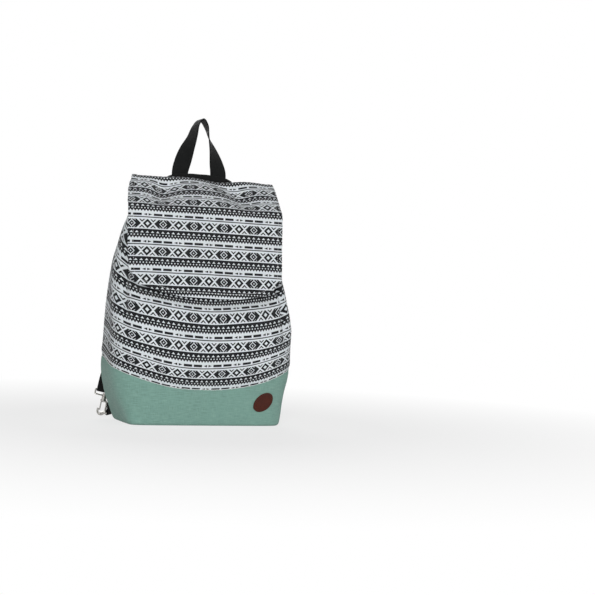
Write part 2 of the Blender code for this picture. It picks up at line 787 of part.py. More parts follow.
def make_strap(left, right, finish, metal):
    """One strap: folded and sewn on one eye, looped through the other and back to its slider."""
    path = strap_path(left, right)
    layer = (STRAP_THICKNESS + GAP) / 2
    bend = EYE_WIRE / 2 + GAP + STRAP_THICKNESS / 2
    _, _, _, out = path.at(path.length / 2)
    face = 1 if out.y > 0 else -1
    wire = SLIDER_WIRE / 2
    bars = layer + STRAP_THICKNESS / 2 + GAP + wire
    wrap = wire + GAP + STRAP_THICKNESS / 2
    over = bars + wrap + STRAP_THICKNESS + GAP
    slider = path.length - SLIDER_FROM_RING
    line = [(STRAP_FOLD, -layer), (STRAP_LEAD, -layer)]
    line += round_bar(0.0, 0.0, bend, 180, 360)
    line += [(STRAP_LEAD, layer), (slider - SLIDER_LEAD, layer)]
    rise = SLIDER_PITCH - STRAP_THICKNESS
    line += [(slider - rise, layer), (slider - SLIDER_TOP, over), (slider + SLIDER_TOP, over)]
    line += [(slider + rise, layer), (slider + SLIDER_LEAD, layer), (path.length - STRAP_LEAD, layer)]
    line += round_bar(path.length, 0.0, bend, 0, 180)
    line += [(path.length - STRAP_LEAD, -layer), (slider + SLIDER_PITCH * 0.6, -layer)]
    line += [(slider + wrap, bars - wrap - STRAP_THICKNESS / 2)]
    line += round_bar(slider, bars, wrap, 180, 360)
    line = [(s, face * d) for s, d in line]
    strap = ribbon("strap", path, line, STRAP_WIDTH, STRAP_THICKNESS, finish)
    return strap, make_slider(path, slider, face * bars, metal)


def make_slider(path, s, offset, finish):
    """The strap's slider: a flat wire frame with a bar across its middle."""
    half = STRAP_WIDTH / 2 + GAP + SLIDER_WIRE / 2 + SLIDER_PLAY
    corners = [(-half, -SLIDER_PITCH), (half, -SLIDER_PITCH), (half, SLIDER_PITCH), (-half, SLIDER_PITCH)]
    place, along, wide, out = path.at(s)
    middle = place + out * offset
    points = [middle + wide * w + along * p for w, p in corners]
    frame = as_mesh(rod("slider", points, SLIDER_WIRE / 2, None, cyclic=True))
    frame.data.materials.append(finish)
    bar = as_mesh(rod("slider_bar", [middle - wide * half, middle + wide * half], SLIDER_BAR / 2, None))
    return combine(frame, bar, "UNION")


def make_handle(finish):
    """One webbing band: sewn flat to the back, over the strap, and up into a tight standing loop."""
    leg = HANDLE_SPREAD / 2
    half = HANDLE_THICKNESS / 2
    strap_face = strap_depth() + STRAP_THICKNESS / 2 + 2 * GAP + half
    low = STRAP_HEIGHT - STRAP_WIDTH / 2 - HANDLE_PAST_STRAP
    high = STRAP_HEIGHT + STRAP_WIDTH / 2 + HANDLE_PAST_STRAP
    step = low - HANDLE_STEP

    def back_at(z):
        return float(girth_at(z)[2]) + GAP + half

    points, widths = [], []

    def side(sign):
        found = [
            (Vector((sign * leg, back_at(HANDLE_FOOT), HANDLE_FOOT)), 0),
            (Vector((sign * leg, back_at(step) + HANDLE_SLACK, step)), 0),
            (Vector((sign * leg, strap_face + HANDLE_SLACK, low)), 0),
            (Vector((sign * leg, strap_face, STRAP_HEIGHT)), 0),
        ]
        for rise, inwards, turn in HANDLE_ROUTE:
            x = leg - (leg - HANDLE_APEX_RADIUS) * inwards
            found.append((Vector((sign * x, strap_face, high + (HANDLE_APEX - high) * rise)), turn))
        near = HANDLE_APEX - HANDLE_APEX_RADIUS * HANDLE_APEX_DROP
        found.append((Vector((sign * HANDLE_APEX_RADIUS, strap_face, near)), 85))
        return found

    for spot, turn in side(-1):
        points.append(spot)
        widths.append(Vector((math.cos(math.radians(turn)), math.sin(math.radians(turn)), 0)))
    points.append(Vector((0, strap_face, HANDLE_APEX - half)))
    widths.append(Vector((0, 1, 0)))
    for spot, turn in reversed(side(1)):
        points.append(spot)
        widths.append(Vector((-math.cos(math.radians(turn)), math.sin(math.radians(turn)), 0)))
    path = Path(points, widths)
    line = [(0, 0), (path.length, 0)]
    return ribbon("handle", path, line, HANDLE_WIDTH, HANDLE_THICKNESS, finish, HANDLE_PIECE)


def make_snap(metal):
    """The two halves of the magnetic snap, each lying against its own cloth."""
    z = HEM_HEIGHT + SNAP_ABOVE_HEM
    face = skin(0.0, z)
    normal = skin_normal(0.0, z)
    on_body = frame_of(face + normal * GAP, Vector((1, 0, 0)), normal)
    made = cylinder("snap_body_half", SNAP_DIAMETER, 0.0, SNAP_THICKNESS, on_body, 24)
    made.data.materials.append(metal)
    lean = front_lean()
    normal = Vector((0, -math.cos(lean), math.sin(lean)))
    flap = Vector((0, flap_front_depth(z), z)) - normal * (CLOTH + GAP)
    on_flap = frame_of(flap, Vector((1, 0, 0)), -normal)
    other = cylinder("snap_flap_half", SNAP_DIAMETER, 0.0, SNAP_THICKNESS, on_flap, 24)
    other.data.materials.append(metal)


def make_disc(leather):
    aside = float(girth_at(DISC_HEIGHT)[0]) - DISC_FROM_SIDE
    q = round_at_x(aside, DISC_HEIGHT)
    normal = skin_normal(q, DISC_HEIGHT)
    along = Vector((math.cos(DISC_SLANT), 0, math.sin(DISC_SLANT)))
    oval = Matrix.Diagonal((1, DISC_WIDTH / DISC_LENGTH, 1, 1))
    place = frame_of(skin(q, DISC_HEIGHT, GAP), along, normal) @ oval
    disc = cylinder("leather_disc", DISC_LENGTH, 0.0, DISC_THICKNESS, place, 40)
    disc.data.materials.append(leather)
    return disc


def make_side(side, metal, webbing):
    """The ring, its tab and the hook at one lower corner, and the spare ring above them."""
    name = "left" if side < 0 else "right"
    q = LOWER_TAB_TURN if side > 0 else 1.0 - LOWER_TAB_TURN
    lower = Corner(q, LOWER_RING_HEIGHT)
    make_tab("tab_lower_" + name, lower, webbing)
    _, held = make_ring("ring_lower_" + name, lower, 0.0, metal)
    aside = float(girth_at(UPPER_RING_HEIGHT)[0]) - UPPER_TAB_FROM_SIDE
    upper = Corner(round_at_x(side * aside, UPPER_RING_HEIGHT, back=True), UPPER_RING_HEIGHT)
    make_tab("tab_upper_" + name, upper, webbing)
    make_ring("ring_upper_" + name, upper, math.radians(80), metal)
    frame = HookFrame(lower, held, side)
    make_eye(name, frame, metal)
    make_hook(name, frame, metal)
    make_gate(name, frame, metal)
    return frame


def build():
    global BAG, GUIDES
    clear_scene()
    BAG = collection("backpack")
    GUIDES = collection("guides")
    print_canvas = material("printed_canvas", (0.24, 0.26, 0.27), 0.90)
    plain_canvas = material("plain_canvas", (0.16, 0.30, 0.25), 0.90)
    webbing = material("black_webbing", (0.010, 0.011, 0.011), 0.75)
    leather = material("leather", (0.055, 0.018, 0.013), 0.55)
    metal = material("nickel", (0.62, 0.60, 0.57), 0.25, 1.0)
    make_boot(plain_canvas)
    make_body(print_canvas)
    make_flap(print_canvas)
    make_snap(metal)
    make_disc(leather)
    make_handle(webbing)
    frames = [make_side(side, metal, webbing) for side in (-1, 1)]
    make_strap(*frames, webbing, metal)


build()
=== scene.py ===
"""The flap backpack, dressed: printed canvas over a plain canvas boot, black webbing, nickel hooks."""

import math

import bpy
import numpy as np
from mathutils import Matrix, Vector, noise


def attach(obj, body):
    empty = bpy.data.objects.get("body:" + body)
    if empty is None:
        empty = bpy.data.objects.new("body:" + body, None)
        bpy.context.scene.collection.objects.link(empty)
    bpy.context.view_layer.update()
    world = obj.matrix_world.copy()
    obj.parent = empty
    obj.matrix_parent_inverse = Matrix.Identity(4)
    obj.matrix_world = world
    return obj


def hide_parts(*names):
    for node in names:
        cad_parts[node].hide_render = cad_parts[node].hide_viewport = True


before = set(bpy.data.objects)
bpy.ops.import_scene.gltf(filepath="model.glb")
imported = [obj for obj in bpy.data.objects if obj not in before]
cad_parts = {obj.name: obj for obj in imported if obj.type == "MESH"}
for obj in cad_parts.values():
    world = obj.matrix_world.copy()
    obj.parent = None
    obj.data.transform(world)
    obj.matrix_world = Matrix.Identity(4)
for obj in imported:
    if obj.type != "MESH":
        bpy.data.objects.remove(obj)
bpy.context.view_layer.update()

GAP = 0.0003
CLOTH = 0.0022

# Height, reach to the left and right, ahead and behind, all in millimetres, and how square the
# front and the back corners are
GIRTHS = (
    (0, 128, 128, 60, 58, 8.0, 8.0),
    (24, 138.5, 135, 63, 61, 5.2, 6.8),
    (57, 150, 142, 66.5, 64, 3.7, 6.2),
    (85, 155.5, 147.5, 71, 65.5, 3.4, 5.4),
    (115, 155.5, 149, 72.5, 66, 3.6, 5.2),
    (150, 153.5, 146.5, 69, 65.5, 3.9, 5.0),
    (205, 150, 139, 52, 62, 3.4, 5.0),
    (250, 145.5, 132, 40.5, 57.2, 3.0, 4.6),
    (300, 130, 128, 24, 50, 3.0, 4.2),
    (345, 118.5, 122, 12, 42, 3.0, 4.2),
    (395, 116, 116.5, -1, 32.5, 3.0, 4.2),
)
SKIN_TOP = 0.412
LEVEL_STEP = 0.002

# Boot seam and three lines of the print: how far round, then the height of each in millimetres
ROUND_MARKS = (-0.50, -0.36, -0.29, -0.25, -0.20, -0.17, -0.135, -0.10, -0.065, -0.03, 0.0)
ROUND_MARKS += (0.033, 0.08, 0.113, 0.145, 0.175, 0.21, 0.25, 0.30, 0.36, 0.50)
SEAM_LINE = (106, 106.5, 105, 98, 87, 79, 70.5, 63, 59, 58, 57.5)
SEAM_LINE += (59, 64, 70, 79, 89, 96, 102, 105.5, 106, 106)
ROW_LOW = (148, 148, 144.5, 136.5, 121.5, 112, 104.5, 96.5, 92.5, 91, 91.5)
ROW_LOW += (93.5, 98, 105, 112.5, 122, 131, 138, 144, 148, 148)
ROW_MIDDLE = (190, 190, 183, 173, 160.5, 151.5, 146, 141.5, 138.5, 136.5, 136)
ROW_MIDDLE += (137, 140, 143.5, 149, 155, 164, 173, 183, 190, 190)
ROW_HIGH = (235, 238, 238, 222, 203, 195, 191.5, 187.3, 183.8, 181.7, 181)
ROW_HIGH += (183, 187, 190, 193.5, 198, 206, 222, 236, 238, 235)
SIDE_SEAM = 0.312

# Folds beside the front panel's left (0) and right (1) edge: the heights between which each one
# grows, how far it stands out, how far round from the edge it lies, and its spread
PANEL_FOLDS = (
    (0, 0.125, 0.205, -0.0085, -0.006, 0.0070),
    (0, 0.125, 0.205, 0.0022, 0.008, 0.008),
    (0, 0.125, 0.205, 0.0034, -0.034, 0.018),
    (1, 0.120, 0.185, -0.0095, 0.006, 0.0060),
    (1, 0.120, 0.185, 0.0022, -0.007, 0.007),
    (1, 0.120, 0.170, 0.0044, 0.026, 0.013),
)
# Folds along the flap's hem and the boot seam: how far above the line, how far out, and the spread
HEM_FOLDS = ((0.0, -0.0065, 0.0095), (-0.026, 0.0016, 0.012))
SEAM_FOLDS = ((0.0, -0.0013, 0.0035), (0.010, 0.0007, 0.006))
# Dents above the corners that stand on the floor: how far round and how high, both spreads, depth
BOOT_DENTS = (
    (-0.148, 0.016, 0.010, 0.012, 0.0016),
    (-0.116, 0.018, 0.007, 0.010, 0.0012),
    (0.150, 0.020, 0.012, 0.014, 0.0011),
)

# One repeat of the print, in millimetres of cloth as it was printed
REPEAT_ACROSS = 49.0
REPEAT_DOWN = 42.9
THIN_LINE = 4.3
FIGURE_MIDDLE = 14.8
FIGURE_HALF = 6.9
DASH_MIDDLE, DASH_HALF = 8.25, 6.8
BAND_ROWS, TEETH_ROWS = (23.4, 35.3), (35.2, 38.2)
TRIANGLE_TIP, DOT_ROW, DOT_PITCH = 26.3, 32.5, 4.9
SEAM_IN_PRINT = 130.1
# Where the repeat lies on the front and on the back of the body, and how it stretches there
FRONT_SHIFT, BACK_SHIFT, BODY_REPEAT_ACROSS = 0.0163, 0.006, 0.0494
REPEAT_ABOVE_MARKS, REPEAT_BEHIND, SEAM_BEHIND = 45.0, 44.0, 0.1065
FLAP_SHIFT, FLAP_REPEAT_ACROSS = 0.0264, 0.0515

# Flap: its side edges by the way along it, and its hem by the way across, in millimetres
FLAP_LEFT = 0.134
FLAP_RIGHT = 0.129
EDGE_WALKS = (0, 30, 45, 60, 87.5, 107, 162, 190, 203, 260)
LEFT_EDGE = (-118, -119.5, -126.5, -130.5, -134.5, -134, -133, -131, -130, -130)
RIGHT_EDGE = (122.5, 123.6, 125.8, 126.2, 127.5, 129.5, 129, 129, 128.5, 128)
HEM_MARKS = (-134, -130, -126, -118, -113, -96, -74, -48, -15, 19, 53, 91, 108, 119, 124, 129)
HEM_HEIGHTS = (246, 240.5, 234.5, 222.5, 220, 215, 209.3, 204.7, 203.1)
HEM_HEIGHTS += (202.6, 203.5, 208.5, 216.5, 226.9, 232.5, 239)
HEM_WIDTH = 0.0082
FLAP_HEM = 0.205
FLAP_HEM_FRONT = 0.0624
FLAP_CREST_FRONT = 0.018
FLAP_CREST_HEIGHT = 0.354
FLAP_CREST_RADIUS = 0.012
FLAP_TOP = 0.3995
FLAP_TOP_RADIUS = 0.006
FLAP_TAIL = 0.0215
FLAP_BACK = 0.0355
FLAP_LOWEST = 0.196
ARC_POINTS = 16
MOUTH_DROP = 0.0085
# Middles of the rows of large figures, by the way along the flap
ROW_WALKS = (-0.016, 0.0165, 0.0500, 0.0840, 0.1287, 0.1746, 0.2205, 0.2690)
# The two hollows of the upper slope: their middles at the crest, how these move towards the back
# edge, their spreads and depths, and the depth of both from the crest (0) to the back edge (1)
SLOPE_HOLLOWS = ((-0.082, 0.020, 0.021, 1.0), (0.072, -0.024, 0.024, 1.05))
SLOPE_SHARES = (0.0, 0.10, 0.45, 0.75, 1.0)
SLOPE_DEPTHS = (0.002, 0.006, 0.0115, 0.012, 0.0015)


def ramp(t, low=0.0, high=1.0):
    t = np.clip((np.asarray(t, dtype=float) - low) / (high - low), 0.0, 1.0)
    return t * t * (3 - 2 * t)


def bump(t):
    return np.exp(-np.square(t))


def walk(points):
    """How far along a line of points each of them lies."""
    steps = np.linalg.norm(np.diff(points, axis=0), axis=1)
    return np.concatenate([[0.0], np.cumsum(steps)])


def follow(s, walked, table):
    """Looks up every column of a table by the way along."""
    return np.stack([np.interp(s, walked, column) for column in np.asarray(table).T], -1)


def cubic(a, b, slope_a, slope_b, t):
    """A smooth line from a to b that leaves and comes in with the slopes given."""
    first = a * (2 * t**3 - 3 * t**2 + 1) + slope_a * (t**3 - 2 * t**2 + t)
    return first + b * (3 * t**2 - 2 * t**3) + slope_b * (t**3 - t**2)


def unit(v):
    return v / (np.linalg.norm(v, axis=-1, keepdims=True) + 1e-12)


def square_to(v, along):
    """The part of a direction that stands square to another."""
    return unit(v - along * (v * along).sum(-1, keepdims=True))


def lookup(q, line):
    """A height that changes round the bag, from its marks, with the steps between them smoothed."""
    fine = np.linspace(-0.5, 0.5, 401)
    values = np.interp(fine, ROUND_MARKS, np.array(line) / 1000)
    soft = np.hanning(25)
    padded = np.concatenate([values[:1].repeat(12), values, values[-1:].repeat(12)])
    return np.interp(q, fine, np.convolve(padded, soft / soft.sum(), mode="valid"))


def waviness(points, size, seed):
    """Soft random unevenness, between about -1 and 1, with features of the given size."""
    shift = Vector((seed * 7.31, seed * 3.17, seed * 5.77))
    return np.array([noise.fractal(Vector(p) / size + shift, 0.9, 2.0, 3) for p in points])


# The skin of the bag
class Skin:
    """The outer skin, looked up by how far round it (0 at the front middle) and how high."""

    AROUND = 720

    def __init__(self):
        self.levels = np.arange(0.0, SKIN_TOP, LEVEL_STEP)
        table = np.array(GIRTHS) / (1000, 1000, 1000, 1000, 1000, 1, 1)
        heights, values = table[:, 0], table[:, 1:]
        slopes = np.gradient(values, heights, axis=0)
        i = np.clip(np.searchsorted(heights, self.levels) - 1, 0, len(heights) - 2)
        span = (heights[i + 1] - heights[i])[:, None]
        t = np.clip((self.levels - heights[i])[:, None] / span, -0.3, 1.3)
        rows = cubic(values[i], values[i + 1], slopes[i] * span, slopes[i + 1] * span, t)
        turn = np.linspace(0, 2 * math.pi, 1441)
        across, along = np.sin(turn), -np.cos(turn)
        self.shares = np.arange(self.AROUND + 1) / self.AROUND - 0.5
        self.points = np.zeros((len(self.levels), self.AROUND + 1, 3))
        self.lengths = np.zeros(len(self.levels))
        for n, (left, right, front, back, square_front, square_back) in enumerate(rows):
            reach = 2.0 / np.where(along < 0, square_front, square_back)
            x = np.where(across < 0, left, right) * np.sign(across) * np.abs(across) ** reach
            y = (back - front) / 2 + (back + front) / 2 * np.sign(along) * np.abs(along) ** reach
            ring = np.stack([x, y], 1)
            walked = walk(ring)
            self.lengths[n] = walked[-1]
            self.points[n, :, :2] = follow(self.shares % 1.0, walked / walked[-1], ring)
            self.points[n, :, 2] = self.levels[n]
        self.normals = self.find_normals()
        self.points += self.normals * self.folds()[:, :, None]
        self.normals = self.find_normals()

    def find_normals(self):
        ring = self.points[:, :-1]
        side = np.roll(ring, -1, axis=1) - np.roll(ring, 1, axis=1)
        side = np.concatenate([side, side[:, :1]], axis=1)
        return unit(np.cross(side, np.gradient(self.points, axis=0)))

    def folds(self):
        """How far the cloth stands in or out from the smooth shape."""
        q, z = np.meshgrid(self.shares, self.levels)
        arc = q * self.lengths[:, None]
        # A crease beside each edge of the front panel, and the side bulging behind it
        edges = (-0.137 + 0.012 * ramp(z, 0.20, 0.30), 0.1235 - 0.006 * ramp(z, 0.19, 0.30))
        out = np.zeros_like(q)
        for edge, low, high, depth, beside, spread in PANEL_FOLDS:
            out += depth * ramp(z, low, high) * bump((arc - edges[edge] - beside) / spread)
        # A hollow behind the flap's hem, and the cloth full below it
        hem = flap_hem(self.points[:, :, 0]) - 0.002
        for above, depth, spread in HEM_FOLDS:
            out += depth * ramp(0.150 - np.abs(arc), 0.0, 0.03) * bump((z - hem - above) / spread)
        # Side seams, and the boot seam drawing the cloth in
        aside = (np.abs(q) - SIDE_SEAM) * self.lengths[:, None]
        out -= 0.0011 * ramp(z, 0.105, 0.120) * bump(aside / 0.0024)
        seam = lookup(q, SEAM_LINE)
        for above, depth, spread in SEAM_FOLDS:
            out += depth * bump((z - seam - above) / spread)
        turns = arc * 2 * math.pi
        ripple = np.sin(turns / 0.0123) + 0.6 * np.sin(turns / 0.0191 + 1.3)
        out += 0.00022 * ripple * bump((z - seam - 0.004) / 0.008)
        for around, height, wide, tall, depth in BOOT_DENTS:
            out -= depth * bump((arc - around) / wide) * bump((z - height) / tall)
        # Soft unevenness all over, calmer at the base
        coarse = self.points[::4, ::8]
        tall, wide = coarse.shape[:2]
        spots = coarse.reshape(-1, 3)
        soft = waviness(spots, 0.085, 3) * 0.0016 + waviness(spots, 0.034, 5) * 0.0005
        columns = np.linspace(0, wide - 1, len(self.shares))
        rows = np.linspace(0, tall - 1, len(self.levels))
        uneven = follow(columns, np.arange(wide), soft.reshape(tall, wide).T).T
        uneven = follow(rows, np.arange(tall), uneven) * ramp(z, 0.004, 0.05)
        uneven[:, -1] = uneven[:, 0]
        return out + uneven

    def look(self, table, q, z):
        a = np.clip((np.asarray(q) + 0.5) * self.AROUND, 0, self.AROUND - 1e-6)
        b = np.clip(np.asarray(z) / LEVEL_STEP, 0, len(self.levels) - 1 - 1e-6)
        i, j = a.astype(int), b.astype(int)
        s, t = (a - i)[..., None], (b - j)[..., None]
        low = table[j, i] * (1 - s) + table[j, i + 1] * s
        high = table[j + 1, i] * (1 - s) + table[j + 1, i + 1] * s
        return low * (1 - t) + high * t

    def place(self, q, z, out=0.0):
        found = self.look(self.points, q, z)
        if np.any(out):
            found = found + unit(self.look(self.normals, q, z)) * np.asarray(out)[..., None]
        return found

    def length(self, z):
        return np.interp(z, self.levels, self.lengths)


def flap_hem(x):
    return np.interp(x * 1000, HEM_MARKS, HEM_HEIGHTS) / 1000


skin = Skin()

# The flap's shape
FLAP_LEAN = math.atan2(FLAP_HEM_FRONT - FLAP_CREST_FRONT, FLAP_CREST_HEIGHT - FLAP_HEM)
SLOPE_RUN = FLAP_BACK - CLOTH - GAP + FLAP_CREST_FRONT
SLOPE_RISE = FLAP_TOP - FLAP_CREST_HEIGHT


def slope_sag(x, share):
    """How far the flap's upper slope sinks between the crest (0) and the back edge (1)."""
    lift = np.clip(share, 0, 1)
    sag = -0.0022 * np.sin(math.pi * lift) * bump((x + 0.012) / 0.025)
    for middle, move, spread, depth in SLOPE_HOLLOWS:
        deep = np.interp(lift, SLOPE_SHARES, SLOPE_DEPTHS) * depth
        sag = sag + deep * bump((x - middle - move * lift) / spread)
    return sag


def slope_height(x, y):
    share = (y + FLAP_CREST_FRONT) / SLOPE_RUN
    return FLAP_CREST_HEIGHT + SLOPE_RISE * share - slope_sag(x, share) * 1.25


def mouth_height(q):
    """The mouth follows the underside of the flap."""
    z = np.full_like(q, FLAP_CREST_HEIGHT)
    for _ in range(12):
        spot = skin.place(q, z)
        z = 0.5 * z + 0.5 * (slope_height(spot[..., 0], spot[..., 1]) - MOUTH_DROP)
    return z


def flap_line():
    """Side view of the flap's outer face from its tail over the top and down past the hem."""

    def arc(depth, height, radius, first, last):
        turns = np.linspace(first, last, ARC_POINTS)
        return [(depth - radius * math.cos(a), height + radius * math.sin(a)) for a in turns]

    over = math.pi / 2 - math.atan2(SLOPE_RISE, SLOPE_RUN)
    points = [(0.0381, FLAP_TOP - FLAP_TAIL), (FLAP_BACK, FLAP_TOP - FLAP_TOP_RADIUS * 1.5)]
    middle = (FLAP_BACK - FLAP_TOP_RADIUS, FLAP_TOP - FLAP_TOP_RADIUS)
    points += arc(*middle, FLAP_TOP_RADIUS, math.radians(165), over)
    middle = (FLAP_CREST_RADIUS * 0.75 - FLAP_CREST_FRONT, FLAP_CREST_HEIGHT - FLAP_CREST_RADIUS * 0.95)
    points += arc(*middle, FLAP_CREST_RADIUS, over, FLAP_LEAN)
    depth, height = points[-1]
    points.append((depth - math.tan(FLAP_LEAN) * (height - FLAP_LOWEST), FLAP_LOWEST))
    return np.array(points)


FLAP_LINE = flap_line()
FLAP_WALK = walk(FLAP_LINE)
SLOPE_START, SLOPE_END, CREST_WALK = FLAP_WALK[[1 + ARC_POINTS, 2 + ARC_POINTS, 1 + 2 * ARC_POINTS]]


def walk_at_height(z):
    """How far along the side view the front reaches a height."""
    top, low = FLAP_LINE[-2:, 1]
    return FLAP_WALK[-2] + (top - z) / (top - low) * (FLAP_WALK[-1] - FLAP_WALK[-2])


def flap_across(x, s):
    """Moves a place on the straight flap to where the curved side edges put it."""
    left, right = (np.interp(s * 1000, EDGE_WALKS, edge) / 1000 for edge in (LEFT_EDGE, RIGHT_EDGE))
    outer = ramp(np.abs(x), 0.06, 0.13)
    return x + np.where(x < 0, left + FLAP_LEFT, right - FLAP_RIGHT) * outer


def flap_place(x, s, out=0.0):
    """A point of the flap from its place across and its way along the side view."""
    spot = follow(s, FLAP_WALK, FLAP_LINE)
    ahead = unit(follow(s + 0.0006, FLAP_WALK, FLAP_LINE) - follow(s - 0.0006, FLAP_WALK, FLAP_LINE))
    share = (SLOPE_END - s) / (SLOPE_END - SLOPE_START)
    inside = slope_sag(x, share) * ramp(SLOPE_END + 0.012 - s, 0.0, 0.012)
    inside = inside * ramp(s, SLOPE_START - 0.004, SLOPE_START + 0.004)
    # The side edges roll in a little, and the whole hem stands to the left
    edge = np.clip((np.abs(x) - 0.105) / 0.026, 0, 1) ** 2
    front = ramp(s, CREST_WALK - 0.01, CREST_WALK + 0.02)
    inside = inside + edge * (0.0030 * front + 0.0020 * (1 - front) * ramp(s, 0.03, 0.05))
    push = np.asarray(out) - inside
    lower = ramp(s, SLOPE_START, FLAP_WALK[-1])
    shift = 0.002 * (1 - lower) - 0.009 * lower
    # The top edge droops between the places where it is held up
    droop = 0.0030 * bump((x - 0.030) / 0.030) + 0.0022 * bump((x + 0.125) / 0.025)
    droop = (droop + 0.0010 * np.sin(x * 60)) * (1 - ramp(s, SLOPE_START, SLOPE_START + 0.02))
    y, z = spot[..., 0] + ahead[..., 1] * push, spot[..., 1] - ahead[..., 0] * push - droop
    return np.stack([flap_across(x, s) + shift, y, z], axis=-1)


# Building pieces
def pick(piece):
    """Selects one piece alone, or none, so that the next step acts on its own piece only."""
    if bpy.context.object and bpy.context.object.mode != "OBJECT":
        bpy.ops.object.mode_set(mode="OBJECT")
    bpy.ops.object.select_all(action="DESELECT")
    if piece:
        piece.select_set(True)
        bpy.context.view_layer.objects.active = piece


def edit(piece, *steps):
    """Runs steps on the whole mesh in edit mode."""
    pick(piece)
    bpy.ops.object.mode_set(mode="EDIT")
    bpy.ops.mesh.select_all(action="SELECT")
    for step, settings in steps:
        step(**settings)
    bpy.ops.object.mode_set(mode="OBJECT")


def merge(distance):
    return bpy.ops.mesh.remove_doubles, {"threshold": distance}


def clean(piece, distance=0.00001):
    """Merges doubles and turns all faces outwards."""
    edit(piece, merge(distance), (bpy.ops.mesh.normals_make_consistent, {"inside": False}))


def wear(piece, *materials):
    piece.data.materials.clear()
    for material in materials:
        piece.data.materials.append(material)


def smooth(piece, degrees):
    pick(piece)
    bpy.ops.object.shade_smooth_by_angle(angle=math.radians(degrees))


def modify(piece, kind, **settings):
    modifier = piece.modifiers.new(kind.lower(), kind)
    for name, value in settings.items():
        setattr(modifier, name, value)


def round_edges(piece, degrees=40):
    limit = math.radians(degrees)
    modify(piece, "BEVEL", width=0.0005, segments=2, limit_method="ANGLE", angle_limit=limit)


def apply_all(piece):
    pick(piece)
    for modifier in list(piece.modifiers):
        bpy.ops.object.modifier_apply(modifier=modifier.name)


def line_cloth(piece, cloth):
    """Gives the canvas its thickness, with the plain side of the cloth within."""
    wear(piece, cloth, REVERSE)
    modify(piece, "SOLIDIFY", thickness=CLOTH, offset=-1.0, use_even_offset=True, material_offset=1)


def cloth_grid(name, across, up, place, print_place):
    """A fine grid, laid where place(u, v) says, with a map named weave from print_place(u, v)."""
    pick(None)
    bpy.ops.mesh.primitive_grid_add(x_subdivisions=across, y_subdivisions=up, size=1)
    piece = bpy.context.object
    piece.name = piece.data.name = name
    mesh = piece.data
    flat = np.empty(len(mesh.vertices) * 3)
    mesh.vertices.foreach_get("co", flat)
    u, v = flat[0::3] + 0.5, flat[1::3] + 0.5
    mesh.vertices.foreach_set("co", np.ascontiguousarray(place(u, v)).ravel())
    corner = np.empty(len(mesh.loops), dtype=np.int32)
    mesh.loops.foreach_get("vertex_index", corner)
    mesh.uv_layers[0].name = "weave"
    mesh.uv_layers[0].data.foreach_set("uv", np.ascontiguousarray(print_place(u, v)[corner]).ravel())
    mesh.update()
    return piece


# Materials
def tint(red, green, blue):
    """A colour as a screen shows it, from 0 to 255, turned to the light that Blender reckons with."""
    values = []
    for level in (red, green, blue):
        share = level / 255
        values.append(share / 12.92 if share <= 0.04045 else ((share + 0.055) / 1.055) ** 2.4)
    return (*values, 1.0)


def operation(kind, *more, **settings):
    """A method that does one operation with a sum."""
    return lambda value, *others: value.step(kind, *others, *more, **settings)


class Sum:
    """A number that changes over a surface, to be written in plain sums."""

    def __init__(self, nodes, socket):
        self.nodes = nodes
        self.socket = socket

    def step(self, kind, *others, **settings):
        return self.nodes.sum("Math", dict(enumerate((self, *others))), operation=kind, **settings)

    __add__ = operation("ADD")
    __mul__ = operation("MULTIPLY")
    __sub__ = operation("SUBTRACT")
    __truediv__ = operation("DIVIDE")
    __abs__ = operation("ABSOLUTE")
    low = operation("MINIMUM")
    high = operation("MAXIMUM")
    wrap = operation("FLOORED_MODULO")
    clear = operation("ADD", 0.0, use_clamp=True)

    def __rsub__(self, other):
        return (self * -1) + other

    def near(self, pitch):
        """Distance from the nearest multiple of a pitch."""
        return self.step("PINGPONG", pitch / 2)

    def wave(self, pitch):
        return (self * (2 * math.pi / pitch)).step("SINE")

    def below(self, limit, soft=0.3):
        """1 where the number is under the limit, 0 above it, with a soft edge."""
        return ((limit - self) / soft + 0.5).clear()

    def above(self, limit, soft=0.3):
        return ((self - limit) / soft + 0.5).clear()

    def between(self, low, high):
        return self.above(low).low(self.below(high))


class Nodes:
    """A node tree, and the nodes that are added to it."""

    def __init__(self, tree):
        self.tree = tree

    def link(self, value, socket):
        if isinstance(value, Sum):
            value = value.socket
        elif isinstance(value, bpy.types.Node):
            value = value.outputs[0]
        if isinstance(value, bpy.types.NodeSocket):
            self.tree.links.new(value, socket)
        else:
            socket.default_value = value

    def node(self, kind, sockets=None, **settings):
        node = self.tree.nodes.new("ShaderNode" + kind)
        for name, value in settings.items():
            setattr(node, name, value)
        for name, value in (sockets or {}).items():
            self.link(value, node.inputs[name])
        return node

    def sum(self, kind, sockets=None, output=0, **settings):
        return Sum(self, self.node(kind, sockets, **settings).outputs[output])

    def seen(self):
        """1 for what the camera sees, itself or in something shiny, and 0 for light that falls."""
        path = self.node("LightPath")
        return Sum(self, path.outputs["Is Camera Ray"]).high(path.outputs["Is Glossy Ray"])


